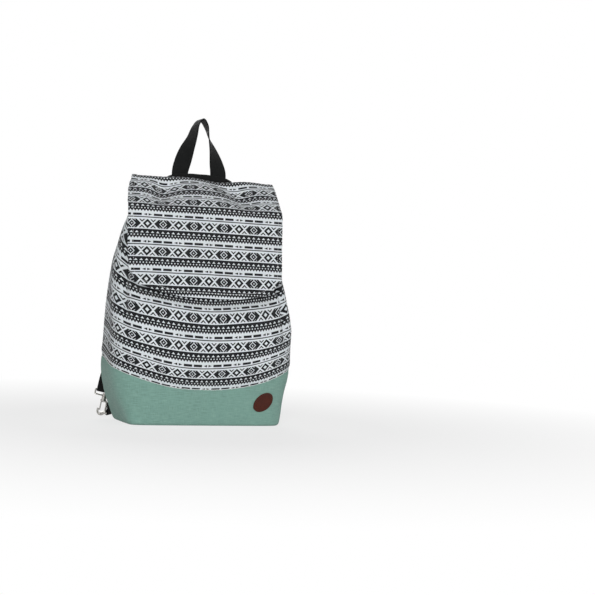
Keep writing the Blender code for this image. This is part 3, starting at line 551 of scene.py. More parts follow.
class Finish(Nodes):
    """One material and the nodes that make it."""

    def __init__(self, name, **fixed):
        self.material = bpy.data.materials.new(name)
        self.material.use_nodes = True
        super().__init__(self.material.node_tree)
        self.shader = self.tree.nodes["Principled BSDF"]
        for socket, value in fixed.items():
            self.shader.inputs[socket.replace("_", " ")].default_value = value

    def feed(self, socket, value):
        self.link(value, self.shader.inputs[socket])

    def place(self):
        return self.node("TexCoord").outputs["Object"]

    def weave_map(self):
        """The two numbers of the piece's own map, in metres or in repeats of the print."""
        parts = self.node("SeparateXYZ", {0: self.node("UVMap", uv_map="weave")})
        return Sum(self, parts.outputs[0]), Sum(self, parts.outputs[1])

    def grain(self, scale, detail=3.0, stretch=(1, 1, 1), source=None, rough=0.5):
        spot = self.node("Mapping", {"Vector": source or self.place(), "Scale": stretch})
        sockets = {"Vector": spot, "Scale": scale, "Detail": detail, "Roughness": rough}
        return self.sum("TexNoise", sockets)

    def blend(self, share, first, second):
        return self.node("Mix", {0: share, 6: first, 7: second}, data_type="RGBA").outputs[2]

    def paint(self, share, first, second):
        self.feed("Base Color", self.blend(share, first, second))

    def relief(self, height, distance, strength=1.0):
        sockets = {"Height": height, "Distance": distance, "Strength": strength}
        self.feed("Normal", self.node("Bump", sockets))


def thread_relief(u, v, pitch):
    """Plain weave: threads that pass over and under each other, from a map in metres."""
    over = (u.wave(pitch * 2) * v.wave(pitch * 2)).step("SIGN")
    ridge_u, ridge_v = (abs((way * (math.pi / pitch)).step("SINE")) for way in (u, v))
    share = over * 0.5 + 0.5
    return ridge_u * share + ridge_v * (1 - share)


def print_threads(across, down):
    return thread_relief(across * (REPEAT_ACROSS / 1000), down * (REPEAT_DOWN / 1000), 0.00075)


def printed_canvas():
    """White canvas printed in black with traditional rows of diamonds, arrows, dots and teeth."""
    finish = Finish("printed_canvas", Roughness=0.9, Specular_IOR_Level=0.25, Sheen_Weight=0.15)
    across, down = finish.weave_map()
    # Threads make the edges of the print uneven
    u = across * REPEAT_ACROSS + (finish.grain(900, 2.0) - 0.5) * 0.3
    v = down * REPEAT_DOWN + (finish.grain(1100, 2.0) - 0.5) * 0.3
    du = u.near(REPEAT_ACROSS)
    half = REPEAT_ACROSS / 2 - du
    row = v.wrap(REPEAT_DOWN)
    from_dash = row.near(REPEAT_DOWN)
    dash = abs(du - DASH_MIDDLE).below(DASH_HALF).low(from_dash.below(1.8))
    arrow = (from_dash * (5.6 / 1.9) + half).below(DASH_HALF).low(half.above(1.2))
    line = abs(row - THIN_LINE).below(0.8)
    # Figures: distances from the middles of the large and the small diamond, and of the ticks
    rise = abs(row - FIGURE_MIDDLE)
    big, small, tick = du + rise, half + rise, rise - abs(du - 15.7)
    notch = abs(big - 10.2).below(0.38).low(rise.above(4.4))
    notch = notch.high(du.below(0.5).low(rise.above(3.6)))
    wings = big.between(6.1, 14.2).low(rise.below(FIGURE_HALF)).low(1 - notch)
    ticks = tick.between(2.1, 4.6).low(rise.below(FIGURE_HALF))
    figures = big.between(1.3, 4.5).high(wings).high(small.between(3.2, 7.6)).high(ticks)
    # Dark band with pale triangles and dots, and teeth below it
    tip = u.near(REPEAT_ACROSS / 6)
    triangles = (tip * 1.12 - (row - TRIANGLE_TIP)).below(0.0).low(row.below(TRIANGLE_TIP + 3.0))
    aside, from_dots = u.near(DOT_PITCH), row - DOT_ROW
    dots = (aside * aside + from_dots * from_dots).step("SQRT").below(1.0)
    teeth = (aside + (row - BAND_ROWS[1]) * (2.1 / 2.7)).below(2.1).low(row.between(*TEETH_ROWS))
    band = row.between(*BAND_ROWS).low(1 - triangles).low(1 - dots).high(teeth)
    ink = dash.high(arrow).high(line).high(figures.low(rise.below(7.6))).high(band)
    # The ink lies thinner here and there, and single pale threads show through it
    cover = finish.grain(60, 4.0) * 0.10 + finish.grain(1500, 2.0) * 0.16
    pale = finish.blend(finish.grain(14, 3.0), tint(229, 234, 237), tint(214, 220, 224))
    black = finish.blend(cover, tint(7, 8, 11), tint(50, 54, 59))
    finish.paint(ink, pale, black)
    finish.relief(print_threads(across, down) + finish.grain(350, 3.0) * 0.5 + ink * -0.12, 0.00022, 0.8)
    return finish.material


def reverse_canvas():
    """The inside of the printed canvas: the print shows through only faintly."""
    finish = Finish("canvas_reverse", Roughness=0.92, Specular_IOR_Level=0.2)
    across, down = finish.weave_map()
    shade = finish.grain(30, 4.0) * 0.6 + (down * REPEAT_DOWN).wave(REPEAT_DOWN) * 0.12 + 0.12
    finish.paint(shade, tint(196, 199, 196), tint(150, 154, 154))
    finish.relief(print_threads(across, down), 0.0002)
    return finish.material


def plain_canvas():
    """Heathered green canvas: pale and dark slubs along both threads."""
    finish = Finish("plain_canvas", Roughness=0.9, Specular_IOR_Level=0.25, Sheen_Weight=0.2)
    across, down = finish.weave_map()
    flat = finish.node("CombineXYZ", {0: across, 1: down}).outputs[0]
    weft = finish.grain(1, 4.0, (70, 900, 1), flat, 0.6)
    warp = finish.grain(1, 4.0, (1100, 90, 1), flat, 0.6)
    slub = (weft * 0.6 + warp * 0.4 - 0.5) * 2.6 + 0.5
    body = finish.blend(slub.clear(), tint(91, 128, 117), tint(146, 183, 171))
    worn = (finish.grain(16, 3.0) * 0.9 - 0.2).clear()
    finish.paint(worn, body, tint(128, 168, 156))
    threads = thread_relief(across, down, 0.0008)
    finish.relief(threads + slub * 0.5 + finish.grain(300, 3.0) * 0.4, 0.00024, 0.8)
    return finish.material


def black_webbing():
    """Ribbed webbing, nearly black, with its ribs along and a fine chevron across them."""
    finish = Finish("black_webbing", Specular_IOR_Level=0.16, Sheen_Weight=0.02, Sheen_Roughness=0.4)
    along, across = finish.weave_map()
    rib = abs(across.wave(0.0042))
    zig = (along + across.near(0.0042) * 0.8).wave(0.0011)
    dust = (finish.grain(90, 4.0) * 0.5 + (zig * 0.5 + 0.5) * 0.3).clear()
    finish.paint(dust, tint(4, 5, 5), tint(15, 17, 17))
    finish.feed("Roughness", finish.grain(120, 3.0) * 0.2 + 0.62)
    finish.relief(rib * 0.5 + zig * 0.35 + finish.grain(700, 2.0) * 0.3, 0.00035, 0.9)
    return finish.material


def brown_leather():
    finish = Finish("brown_leather", Specular_IOR_Level=0.2)
    sockets = {"Vector": finish.place(), "Scale": 1400.0}
    pores = finish.sum("TexVoronoi", sockets, feature="DISTANCE_TO_EDGE")
    cloud = finish.grain(120, 5.0)
    hide = finish.blend(cloud, tint(50, 14, 5), tint(86, 34, 16))
    finish.paint((pores * 9).clear(), tint(38, 13, 8), hide)
    finish.feed("Roughness", cloud * 0.25 + 0.5)
    finish.relief((pores * 6).clear() + cloud * 0.6, 0.00012, 0.7)
    return finish.material


def nickel():
    finish = Finish("nickel", Metallic=1.0)
    scuff = finish.grain(260, 5.0, (1, 1, 0.25))
    finish.paint(scuff, tint(176, 174, 170), tint(150, 147, 142))
    finish.feed("Roughness", scuff * 0.22 + 0.16)
    finish.relief(finish.grain(900, 3.0), 0.00003, 0.5)
    return finish.material


def sewing_thread(name, colour):
    finish = Finish(name, Roughness=0.7, Specular_IOR_Level=0.3)
    twist = finish.grain(2600, 2.0)
    lighter = tuple(min(255, level * 1.35 + 12) for level in colour)
    finish.paint(twist, tint(*colour), tint(*lighter))
    finish.relief(twist, 0.0001)
    return finish.material


PRINT = printed_canvas()
REVERSE = reverse_canvas()
PLAIN = plain_canvas()
WEBBING = black_webbing()
LEATHER = brown_leather()
NICKEL = nickel()
THREAD_PALE = sewing_thread("thread_pale", (196, 200, 200))
THREAD_GREEN = sewing_thread("thread_green", (92, 124, 114))
THREAD_BLACK = sewing_thread("thread_black", (26, 27, 28))
THREAD_BROWN = sewing_thread("thread_brown", (44, 28, 24))

# Length, spacing, thickness and thread of each kind of stitch
CANVAS_STITCH = (0.0026, 0.0034, 0.00045, THREAD_PALE)
BOOT_STITCH = (0.0027, 0.0036, 0.00048, THREAD_GREEN)
BOX_STITCH = (0.0022, 0.0030, 0.00055, THREAD_BLACK)
PATCH_STITCH = (0.0020, 0.0028, 0.0005, THREAD_BROWN)
FRINGE = (0.0022, 0.0018, 0.0009, THREAD_PALE)


# Stitches: one is modelled and laid again along a line
def stitch_line(name, points, normals, length, spacing, thickness, material):
    """A row of stitches along points, each half sunk into the cloth."""
    pick(None)
    bpy.ops.mesh.primitive_uv_sphere_add(segments=8, ring_count=5, radius=0.5)
    model = bpy.context.object
    shape = np.empty(len(model.data.vertices) * 3)
    model.data.vertices.foreach_get("co", shape)
    shape = (shape.reshape(-1, 3) * (thickness, thickness * 0.8, length))[:, [2, 0, 1]]
    faces = [tuple(face.vertices) for face in model.data.polygons]
    bpy.data.objects.remove(model, do_unlink=True)
    walked = walk(points)
    count = int(walked[-1] / spacing)
    s = (np.arange(count) + 0.5) * walked[-1] / count
    along = unit(follow(s + 0.0008, walked, points) - follow(s - 0.0008, walked, points))
    up = square_to(follow(s, walked, normals), along)
    middle = follow(s, walked, points) + up * thickness * 0.12
    verts = middle[:, None] + shape @ np.stack([along, np.cross(up, along), up], 1)
    all_faces = [[i + k * len(shape) for i in face] for k in range(count) for face in faces]
    mesh = bpy.data.meshes.new(name)
    mesh.from_pydata(verts.reshape(-1, 3).tolist(), [], all_faces)
    mesh.materials.append(material)
    mesh.shade_smooth()
    piece = bpy.data.objects.new(name, mesh)
    bpy.context.scene.collection.objects.link(piece)
    clean(piece)
    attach(piece, "bag")


def skin_stitches(name, q, z, out, kind):
    """A row of stitches on the bag's skin."""
    line = skin.place(q, z, np.full_like(q, out))
    stitch_line(name, line, skin.look(skin.normals, q, z), *kind)


# Body and boot
def body_spot(u, v):
    q = u - 0.5
    low, high = lookup(q, SEAM_LINE) + GAP, mouth_height(q)
    return q, low + (high - low) * v, high


def body_place(u, v):
    q, z, high = body_spot(u, v)
    hem = 0.0007 * ramp(z, high - 0.0125, high - 0.0115) - 0.0005 * bump((z - high + 0.012) / 0.0012)
    return skin.place(q, z, hem)


def rows_down(q, z):
    """How many repeats of the print lie between a place and the first thin line's row."""
    marks = [lookup(q, line) for line in (ROW_HIGH, ROW_MIDDLE, ROW_LOW, SEAM_LINE)]
    prints = [THIN_LINE + REPEAT_DOWN * k for k in range(3)] + [SEAM_IN_PRINT]
    above = prints[0] - (z - marks[0]) * 1000 * REPEAT_DOWN / REPEAT_ABOVE_MARKS
    found = np.where(z > marks[0], above, 0.0)
    for k in range(3):
        share = (marks[k] - z) / (marks[k] - marks[k + 1])
        part = prints[k] + (prints[k + 1] - prints[k]) * share
        found = np.where((z <= marks[k]) & ((z > marks[k + 1]) | (k == 2)), part, found)
    return found / REPEAT_DOWN


def body_print(u, v):
    q, z, _ = body_spot(u, v)
    back = np.abs(q) > SIDE_SEAM
    arc = np.where(back, (q - np.sign(q) * 0.5), q) * skin.length(z)
    across = (arc - np.where(back, BACK_SHIFT, FRONT_SHIFT)) / BODY_REPEAT_ACROSS
    behind = (SEAM_BEHIND - z) * 1000 / REPEAT_BEHIND + SEAM_IN_PRINT / REPEAT_DOWN
    return np.stack([across, np.where(back, behind, rows_down(q, z))], axis=-1)


def make_body():
    piece = cloth_grid("body_cloth", 400, 112, body_place, body_print)
    edit(piece, merge(0.00001))
    line_cloth(piece, PRINT)
    apply_all(piece)
    smooth(piece, 50)
    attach(piece, "bag")
    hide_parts("body")
    q = np.linspace(-0.5, 0.5, 601)
    skin_stitches("mouth_stitches", q, mouth_height(q) - 0.0105, 0.0003, CANVAS_STITCH)
    for side, sign in (("left", -1), ("right", 1)):
        z = np.linspace(0.118, 0.36, 120)
        q = np.full_like(z, sign * (SIDE_SEAM + 0.0045))
        skin_stitches("side_stitches_" + side, q, z, 0.0001, CANVAS_STITCH)


# The boot's grid runs from the middle of its bottom to the bottom's edge, round it and up the wall
BASE_ROUNDING = 0.005
BOTTOM_END, WALL_START = 0.12, 0.22
POLE = 0.02


def boot_place(u, v):
    q = u - 0.5
    top = lookup(q, SEAM_LINE) - GAP
    angle = np.clip((v - BOTTOM_END) / (WALL_START - BOTTOM_END), 0, 1) * math.pi / 2
    wall = np.clip((v - WALL_START) / (1 - WALL_START), 0, 1)
    z = BASE_ROUNDING * (1 - np.cos(angle)) + wall * (top - BASE_ROUNDING)
    found = skin.place(q, z, -BASE_ROUNDING * (1 - np.sin(angle)))
    found[..., 2] = z + (found[..., 2] - z) * ramp(wall, 0, 0.15)
    bottom = v < BOTTOM_END
    share = np.clip(v / BOTTOM_END, 0, 1)[bottom, None]
    found[bottom, :2] *= POLE + (1 - POLE) * share
    found[bottom, 2] = 0.0
    return found


def boot_print(u, v):
    spot = boot_place(u, v)
    around = np.stack([(u - 0.5) * 0.76, spot[..., 2]], axis=-1)
    return np.where((v < 0.2)[..., None], spot[..., :2], around)


def make_boot():
    piece = cloth_grid("boot_cloth", 360, 56, boot_place, boot_print)
    points = (bpy.ops.mesh.select_mode, {"type": "VERT"})
    edit(piece, points, merge(0.00001), (bpy.ops.mesh.select_all, {"action": "DESELECT"}))
    # The small hole that the grid leaves in the middle of the bottom
    for vertex in piece.data.vertices:
        x, y, z = vertex.co
        vertex.select = abs(x) < 0.0028 and abs(y) < 0.0022 and z < 0.0005
    bpy.ops.object.mode_set(mode="EDIT")
    bpy.ops.mesh.edge_face_add()
    bpy.ops.object.mode_set(mode="OBJECT")
    line_cloth(piece, PLAIN)
    apply_all(piece)
    smooth(piece, 50)
    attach(piece, "bag")
    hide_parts("boot")
    q = np.linspace(-0.5, 0.5, 801)
    skin_stitches("boot_stitches", q, lookup(q, SEAM_LINE) - 0.0032, 0.0002, BOOT_STITCH)


def make_seam_fringe():
    """Pale cut threads of the printed canvas that stand out along the boot seam."""
    q = np.linspace(-0.499, 0.499, 521)
    rng = np.random.default_rng(11)
    z = lookup(q, SEAM_LINE) + rng.normal(0, 0.00025, len(q))
    skin_stitches("seam_fringe", q, z, 0.0005, FRINGE)


# Flap
def flap_spot(u, v):
    x = u * (FLAP_LEFT + FLAP_RIGHT) - FLAP_LEFT
    end = walk_at_height(flap_hem(x))
    return x, v * end, end


def flap_soft(x, s):
    """Soft unevenness of the flap, calm at its tail."""
    wave = np.sin(x * 31 + s * 9) * 0.0006 + np.sin(x * 13 - s * 24 + 1.1) * 0.0008
    return (wave + 0.0005 * np.sin(x * 74 + 2.0) * ramp(s, 0.12, 0.25)) * ramp(s, 0.02, 0.06)


def flap_grid_place(u, v):
    x, s, end = flap_spot(u, v)
    from_edge = np.minimum(end - s, np.where(x < 0, x + FLAP_LEFT, FLAP_RIGHT - x))
    hem = 0.0006 * (1 - ramp(from_edge, 0.0085, 0.0100)) - 0.0004 * bump((from_edge - HEM_WIDTH) / 0.0010)
    return flap_place(x, s, hem + flap_soft(x, s))


def flap_print(u, v):
    x, s, _ = flap_spot(u, v)
    down = np.interp(s, ROW_WALKS, np.arange(len(ROW_WALKS)) - 2) + FIGURE_MIDDLE / REPEAT_DOWN
    return np.stack([(flap_across(x, s) - FLAP_SHIFT) / FLAP_REPEAT_ACROSS, down], axis=-1)


def make_flap():
    piece = cloth_grid("flap_cloth", 200, 180, flap_grid_place, flap_print)
    edit(piece, (bpy.ops.mesh.flip_normals, {}))
    line_cloth(piece, PRINT)
    round_edges(piece)
    apply_all(piece)
    smooth(piece, 50)
    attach(piece, "bag")
    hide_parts("flap")
    left, right = HEM_WIDTH - FLAP_LEFT, FLAP_RIGHT - HEM_WIDTH
    hem_ends = walk_at_height(flap_hem(np.array([left, right]))) - HEM_WIDTH
    across = np.linspace(left, right, 160)
    down = np.linspace(0.026, hem_ends[0], 90)[:-1]
    up = np.linspace(hem_ends[1], 0.026, 90)[1:]
    x = np.concatenate([np.full_like(down, left), across, np.full_like(up, right)])
    s = np.concatenate([down, walk_at_height(flap_hem(across)) - HEM_WIDTH, up])
    points = flap_place(x, s, flap_soft(x, s) + 0.0002)
    normals = flap_place(x, s, np.full_like(x, 0.001)) - flap_place(x, s, np.zeros_like(x))
    stitch_line("flap_stitches", points, normals, *CANVAS_STITCH)


# Webbing
class Path:
    """A smooth line in space with a direction across and a direction outwards at each place."""

    def __init__(self, points, widths):
        points = np.array([list(p) for p in points])
        fine = []
        for i in range(len(points) - 1):
            before, after = points[max(i - 1, 0)], points[min(i + 2, len(points) - 1)]
            a, b = points[i], points[i + 1]
            fine += [cubic(a, b, (b - before) / 2, (after - a) / 2, t) for t in np.arange(16) / 16]
        self.points = np.array(fine + [points[-1]])
        self.walked = walk(self.points)
        self.length = float(self.walked[-1])
        marks, shares = np.linspace(0, 1, len(widths)), np.linspace(0, 1, len(self.points))
        self.wide = follow(shares, marks, [list(w) for w in widths])

    def at(self, s):
        """Place, direction across and direction outwards, for an array of distances."""
        inside = np.clip(s, 0, self.length)
        low, high = np.maximum(inside - 0.003, 0), np.minimum(inside + 0.003, self.length)
        along = unit(follow(high, self.walked, self.points) - follow(low, self.walked, self.points))
        wide = square_to(follow(inside, self.walked, self.wide), along)
        place = follow(inside, self.walked, self.points) + along * (s - inside)[..., None]
        return place, wide, np.cross(wide, along)

    def outwards(self, s):
        return self.at(np.array([s]))[2][0]


def round_bar(s, d, radius, first, last, steps=14):
    turns = np.radians(np.linspace(first, last, steps + 1))
    return [(s + radius * math.sin(a), d + radius * math.cos(a)) for a in turns]


def make_band(name, path, side_view, width, thickness, node, every=0.004):
    """A band of webbing whose side view is a line of (along, out) points on the path."""
    line = [np.array(side_view[0])]
    for a, b in zip(side_view, side_view[1:]):
        a, b = np.array(a), np.array(b)
        parts = max(1, math.ceil(float(np.linalg.norm(b - a)) / every))
        line += [a + (b - a) * k / parts for k in range(1, parts + 1)]
    count = len(line) - 1
    table = np.column_stack([line, walk(line)])

    def look(u):
        return follow(u * count, np.arange(count + 1), table).T

    def place(u, v):
        s, d, _ = look(u)
        spot, wide, out = path.at(s)
        return spot + out * d[..., None] + wide * ((v - 0.5) * (width - 0.0004))[..., None]

    def weave(u, v):
        return np.stack([look(u)[2], (v - 0.5) * width], -1)

    piece = cloth_grid(name, count, 6, place, weave)
    wear(piece, WEBBING)
    modify(piece, "SOLIDIFY", thickness=thickness - 0.0001, offset=0.0, use_even_offset=False)
    round_edges(piece, 50)
    apply_all(piece)
    clean(piece, 0.000001)
    smooth(piece, 60)
    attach(piece, "bag")
    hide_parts(node)


def box_stitch(name, path, start, end, width, out):
    """A sewn rectangle with its two diagonals."""
    half = width / 2 - 0.0025
    corners = [(start, -half), (end, -half), (end, half), (start, half)]
    corners += [(start, -half), (end, half), (end, -half), (start, half)]
    route = np.concatenate([np.linspace(a, b, 24) for a, b in zip(corners, corners[1:])])
    spot, wide, outwards = path.at(route[:, 0])
    points = spot + outwards * out + wide * route[:, 1:]
    keep = np.concatenate([[True], np.diff(walk(points)) > 1e-7])
    stitch_line(name, points[keep], (outwards * np.sign(out))[keep], *BOX_STITCH)


STRAP_WIDTH = 0.029
STRAP_THICKNESS = 0.0018
STRAP_HEIGHT = 0.3935
STRAP_BEHIND = 0.0381
STRAP_FACE = 0.03915
BELLY_WIDTH = 0.311
BELLY_BACK = 0.066
STRAP_BULGE = 0.042
# The strap's way down each side, in shares of the belly's width, the bulge and the strap's height
STRAP_ROUTE = (
    (0.389, 0.24, 0.239),
    (0.357, 0.76, 0.3685),
    (0.3215, 1.0, 0.521),
    (0.283, 0.81, 0.6735),
    (0.2637, 0.145, 0.826),
    (0.225, -0.378, 0.934),
)
HANDLE_WIDTH = 0.028
HANDLE_THICKNESS = 0.0020
HANDLE_SPREAD = 0.066
HANDLE_APEX = 0.5000
HANDLE_APEX_RADIUS = 0.009
# How high and how far inwards each leg of the handle has come, and its twist there in degrees
HANDLE_ROUTE = ((0.0, 0.0, 2), (0.19, 0.17, 20), (0.41, 0.42, 45), (0.64, 0.75, 70))
EYE_WIRE = 0.0028
SLIDER_FROM_RING = 0.170
SLIDER_PITCH = 0.010
SLIDER_WIRE = 0.0026
# Middle of the bar of the right hook's eye, and the way from it down to the hook
EYE = (0.13627, 0.06496, 0.04402)
EYE_DOWN = (0.23517, -0.24458, -0.94068)


def strap_path():
    legs = HANDLE_SPREAD / 2
    clear = legs + HANDLE_WIDTH / 2 + 0.003

    def half(side):
        origin, down = (Vector((side * x, y, z)) for x, y, z in (EYE, EYE_DOWN))
        found = [origin, origin - down * 0.022]
        for across, bulge, height in STRAP_ROUTE:
            depth = BELLY_BACK + bulge * STRAP_BULGE
            found.append((side * across * BELLY_WIDTH, depth, height * STRAP_HEIGHT))
        found.append((side * (clear + 0.007), STRAP_BEHIND + 0.0020, STRAP_HEIGHT - 0.013))
        found.append((side * (clear - 0.006), STRAP_BEHIND, STRAP_HEIGHT - 0.0035))
        found.append((side * legs / 2, STRAP_BEHIND, STRAP_HEIGHT))
        return [Vector(spot) for spot in found]

    route = half(-1) + [Vector((0, STRAP_BEHIND, STRAP_HEIGHT))] + list(reversed(half(1)))
    widths = []
    for before, after in zip(route[:1] + route[:-1], route[1:] + route[-1:]):
        widths.append(Vector((0, 1, 0)).cross((after - before).normalized()).normalized())
    for end, side in ((0, -1), (-1, 1)):
        down = Vector((side * EYE_DOWN[0], *EYE_DOWN[1:])).normalized()
        across = (Vector((1, 0, 0)) - down * down.x).normalized()
        widths[end] = across if widths[end].dot(across) > 0 else -across
    return Path(route, widths)


def make_strap():
    """The strap with both ends round their hook eyes, the right one through the slider as well."""
    path = strap_path()
    end = path.length
    layer = (STRAP_THICKNESS + GAP) / 2
    bend = EYE_WIRE / 2 + GAP + STRAP_THICKNESS / 2
    face = 1 if path.outwards(end / 2)[1] > 0 else -1
    wire = SLIDER_WIRE / 2
    bars = layer + STRAP_THICKNESS / 2 + GAP + wire
    wrap = wire + GAP + STRAP_THICKNESS / 2
    over = bars + wrap + STRAP_THICKNESS + GAP
    slider = end - SLIDER_FROM_RING
    rise = SLIDER_PITCH - STRAP_THICKNESS
    line = [(0.034, -layer), (0.010, -layer)]
    line += round_bar(0.0, 0.0, bend, 180, 360)
    line += [(0.010, layer), (slider - 0.030, layer)]
    line += [(slider - rise, layer), (slider - 0.0022, over), (slider + 0.0022, over)]
    line += [(slider + rise, layer), (slider + 0.030, layer), (end - 0.010, layer)]
    line += round_bar(end, 0.0, bend, 0, 180)
    line += [(end - 0.010, -layer), (slider + SLIDER_PITCH * 0.6, -layer)]
    line += [(slider + wrap, bars - wrap - STRAP_THICKNESS / 2)]
    line += round_bar(slider, bars, wrap, 180, 360)
    line = [(s, face * d) for s, d in line]
    make_band("strap_band", path, line, STRAP_WIDTH, STRAP_THICKNESS, "strap")
    outside = (layer + STRAP_THICKNESS / 2) * face
    box_stitch("strap_stitches", path, 0.011, 0.031, STRAP_WIDTH, outside)


def make_handle():
    leg, half = HANDLE_SPREAD / 2, HANDLE_THICKNESS / 2
    face = STRAP_FACE + STRAP_THICKNESS / 2 + 2 * GAP + half
    low, high = (STRAP_HEIGHT + side * (STRAP_WIDTH / 2 + 0.003) for side in (-1, 1))
    # Distance from the middle, depth, height and twist of one leg, from its foot to the apex
    route = [(leg, 0.0443, 0.340, 0), (leg, 0.0419, low - 0.012, 0)]
    route += [(leg, face + 0.0006, low, 0), (leg, face, STRAP_HEIGHT, 0)]
    for rise, inwards, turn in HANDLE_ROUTE:
        x = leg - (leg - HANDLE_APEX_RADIUS) * inwards
        route.append((x, face, high + (HANDLE_APEX - high) * rise, turn))
    route.append((HANDLE_APEX_RADIUS, face, HANDLE_APEX - HANDLE_APEX_RADIUS * 1.3, 85))
    stops = [(-1, *stop) for stop in route] + [(1, 0, face, HANDLE_APEX - half, 90)]
    stops += [(1, *stop) for stop in reversed(route)]
    points = [(side * x, y, z) for side, x, y, z, _ in stops]
    turns = [(side, math.radians(turn)) for side, *_, turn in stops]
    path = Path(points, [(-side * math.cos(turn), -math.sin(turn), 0) for side, turn in turns])
    line = [(0, 0), (path.length, 0)]
    make_band("handle_band", path, line, HANDLE_WIDTH, HANDLE_THICKNESS, "handle", every=0.0025)
    for name, start in (("left", 0.003), ("right", path.length - 0.024)):
        outside = half if path.outwards(start)[1] > 0 else -half
        box_stitch("handle_stitches_" + name, path, start, start + 0.021, HANDLE_WIDTH, outside)


TAB_WIDTH = 0.020
TAB_THICKNESS = 0.0016
TAB_LENGTH = 0.018
TAB_TAIL = 0.4
RING_WIRE = 0.0030
# Right tabs: the middle of the ring's bar, and the way out of the cloth, across and behind
TABS = {
    "tab_lower_": ((0.13392, 0.04902, 0.0095), (0.84451, 0.53555)),
    "tab_upper_": ((0.09794, 0.04261, 0.347), (0.13340, 0.99106)),
}


def make_tab(name, side, bar, way):
    """A webbing tab, folded round the bar of its ring."""
    (x, y, z), (across, behind) = bar, way
    along, outwards = (-behind, side * across, 0), (side * across, behind, 0)
    path = Path([(side * x, y, z), (side * x, y, z + 3 * TAB_LENGTH)], [along, along])
    radius = RING_WIRE / 2 + GAP + TAB_THICKNESS / 2
    face = 1 if path.outwards(0.0).dot(outwards) > 0 else -1
    far = -radius + TAB_THICKNESS + GAP
    line = [(TAB_LENGTH, far), (TAB_LENGTH * TAB_TAIL, far)]
    line += round_bar(0.0, 0.0, radius, 0, -180) + [(TAB_LENGTH, -radius)]
    line = [(s, face * d) for s, d in line]
    make_band(name + "_band", path, line, TAB_WIDTH, TAB_THICKNESS, name, every=0.0015)
    outside = face * (far + TAB_THICKNESS / 2)
    box_stitch(name + "_stitches", path, 0.0095, 0.0165, TAB_WIDTH, outside)


def make_tabs():
    for level, (bar, way) in TABS.items():
        make_tab(level + "left", -1, bar, way)
        make_tab(level + "right", 1, bar, way)


# Leather patch: its middle, its shape, and its side view from the middle round the rim, in millimetres
DISC_X, DISC_HEIGHT = 0.09187, 0.0390
DISC_STRETCH, DISC_SQUEEZE = 39 / 36, 26 / 36
DISC_SLANT = math.radians(37)
DISC_RADII = (0.0, 5.0, 10.0, 13.0, 13.3, 13.7, 14.0, 16.4, 17.3, 17.8, 18.0, 17.9, 12.0, 0.0)
DISC_HEIGHTS = (1.75, 1.75, 1.8, 1.8, 1.5, 1.5, 1.8, 1.8, 1.7, 1.4, 0.9, 0.4, 0.3, 0.3)


def on_disc(turn, reach):
    """Place round the bag and height of a point of the patch, from its turn and its distance."""
    along, across = reach * np.cos(turn) * DISC_STRETCH, reach * np.sin(turn) * DISC_SQUEEZE
    x = DISC_X + along * math.cos(DISC_SLANT) - across * math.sin(DISC_SLANT)
    z = DISC_HEIGHT + along * math.sin(DISC_SLANT) + across * math.cos(DISC_SLANT)
    levels = np.clip(np.rint(z / LEVEL_STEP).astype(int), 0, len(skin.levels) - 1)
    front = slice(Skin.AROUND // 4, Skin.AROUND * 3 // 4)
    found = [np.interp(a, skin.points[k, front, 0], skin.shares[front]) for a, k in zip(x, levels)]
    return np.array(found), z


def make_disc():
    table = np.column_stack([DISC_RADII, DISC_HEIGHTS]) / 1000
    steps = np.linspace(0, 1, len(table))

    def place(u, v):
        reach, out = follow(v, steps, table).T
        return skin.place(*on_disc(u * 2 * math.pi, reach), out)

    def weave(u, v):
        return np.stack([u * 0.11, v * 0.02], -1)

    piece = cloth_grid("leather_patch", 80, 39, place, weave)
    wear(piece, LEATHER)
    clean(piece, 0.00002)
    smooth(piece, 40)
    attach(piece, "bag")
    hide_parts("leather_disc")
    q, z = on_disc(np.linspace(0, 2 * math.pi, 120), 0.0156)
    skin_stitches("patch_stitches", q, z, 0.0018, PATCH_STITCH)


# Camera, light and floor
CAMERA_YAW, CAMERA_PAN, CAMERA_ROLL = (math.radians(degrees) for degrees in (18.5, 22.490, 2.564))
CAMERA_DISTANCE, CAMERA_HEIGHT = 2.2513, 0.21084
FOCAL_PIXELS, PICTURE_PIXELS, SENSOR = 1375, 595, 36
# Place, aimed height, size and power of each lamp
LAMPS = {
    "key_lamp": ((-1.2, -2.7, 0.55), 0.2, 0.8, 56),
    "fill_lamp": ((1.7, -2.0, 0.45), 0.2, 1.6, 17),
    "back_lamp": ((0.6, 2.4, 1.2), 0.25, 1.6, 26),
}


def place_camera():
    data = bpy.data.cameras.new("camera")
    data.lens = FOCAL_PIXELS / PICTURE_PIXELS * SENSOR
    data.sensor_width = SENSOR
    camera = bpy.data.objects.new("camera", data)
    aside, ahead = math.sin(CAMERA_YAW) * CAMERA_DISTANCE, math.cos(CAMERA_YAW) * CAMERA_DISTANCE
    turned = Matrix.Translation((-aside, -ahead, CAMERA_HEIGHT))
    for angle, axis in ((-CAMERA_PAN, "Z"), (math.pi / 2, "X"), (CAMERA_ROLL, "Z")):
        turned = turned @ Matrix.Rotation(angle, 4, axis)
    camera.matrix_world = turned
    bpy.context.scene.collection.objects.link(camera)
    bpy.context.scene.camera = camera


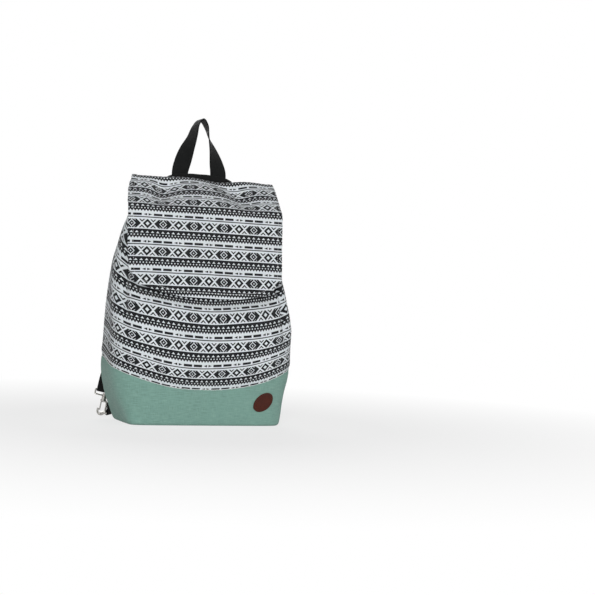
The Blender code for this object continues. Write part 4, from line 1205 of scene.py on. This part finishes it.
def light_room():
    for name, (place, aim, size, power) in LAMPS.items():
        data = bpy.data.lights.new(name, "AREA")
        data.shape = "DISK"
        data.size = size
        data.energy = power
        lamp = bpy.data.objects.new(name, data)
        lamp.location = place
        lamp.rotation_euler = (Vector((0, 0, aim)) - Vector(place)).to_track_quat("-Z", "Y").to_euler()
        bpy.context.scene.collection.objects.link(lamp)
    # The room looks white, but sheds less light, and the least from above
    world = bpy.data.worlds.new("room")
    bpy.context.scene.world = world
    world.use_nodes = True
    room = Nodes(world.node_tree)
    ground = room.tree.nodes["Background"]
    ground.inputs["Color"].default_value = (1, 1, 1, 1)
    parts = room.node("SeparateXYZ", {0: room.node("TexCoord").outputs["Generated"]})
    sockets = {"Value": parts.outputs["Z"], "From Max": 0.8, "To Min": 0.40, "To Max": 0.04}
    level = room.node("Mix", {0: room.seen(), 2: room.node("MapRange", sockets), 3: 1.0})
    room.link(level, ground.inputs["Strength"])


def make_floor():
    """A pale floor that takes shadows and fades into the white of the room."""
    pick(None)
    bpy.ops.mesh.primitive_plane_add(size=14, location=(0, 0, -0.0002))
    floor = bpy.context.object
    floor.name = floor.data.name = "floor"
    pick(floor)
    bpy.ops.object.transform_apply(location=True, rotation=True, scale=True)
    finish = Finish("pale_floor", Roughness=0.9, Specular_IOR_Level=0.1, Base_Color=(0.86, 0.86, 0.86, 1))
    glow = finish.node("Emission", {"Color": (1, 1, 1, 1), "Strength": 1.0})
    away = finish.sum("VectorMath", {0: finish.place()}, "Value", operation="LENGTH")
    share = finish.seen() * (((away - 0.3) / 0.7).clear() * 0.28 + 0.72)
    mixed = finish.node("MixShader", {0: share, 1: finish.shader.outputs[0], 2: glow})
    finish.link(mixed, finish.tree.nodes["Material Output"].inputs["Surface"])
    wear(floor, finish.material)


def dress_metal():
    metal = ["slider", "snap_body_half", "snap_flap_half"]
    for part in ("hook_eye", "hook", "gate", "gate_pin", "ring_lower", "ring_upper"):
        metal += [part + "_left", part + "_right"]
    for name in metal:
        wear(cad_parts[name], NICKEL)


place_camera()
light_room()
make_floor()
make_body()
make_boot()
make_seam_fringe()
make_flap()
make_strap()
make_handle()
make_tabs()
make_disc()
dress_metal()

bpy.context.scene.view_settings.view_transform = "Standard"
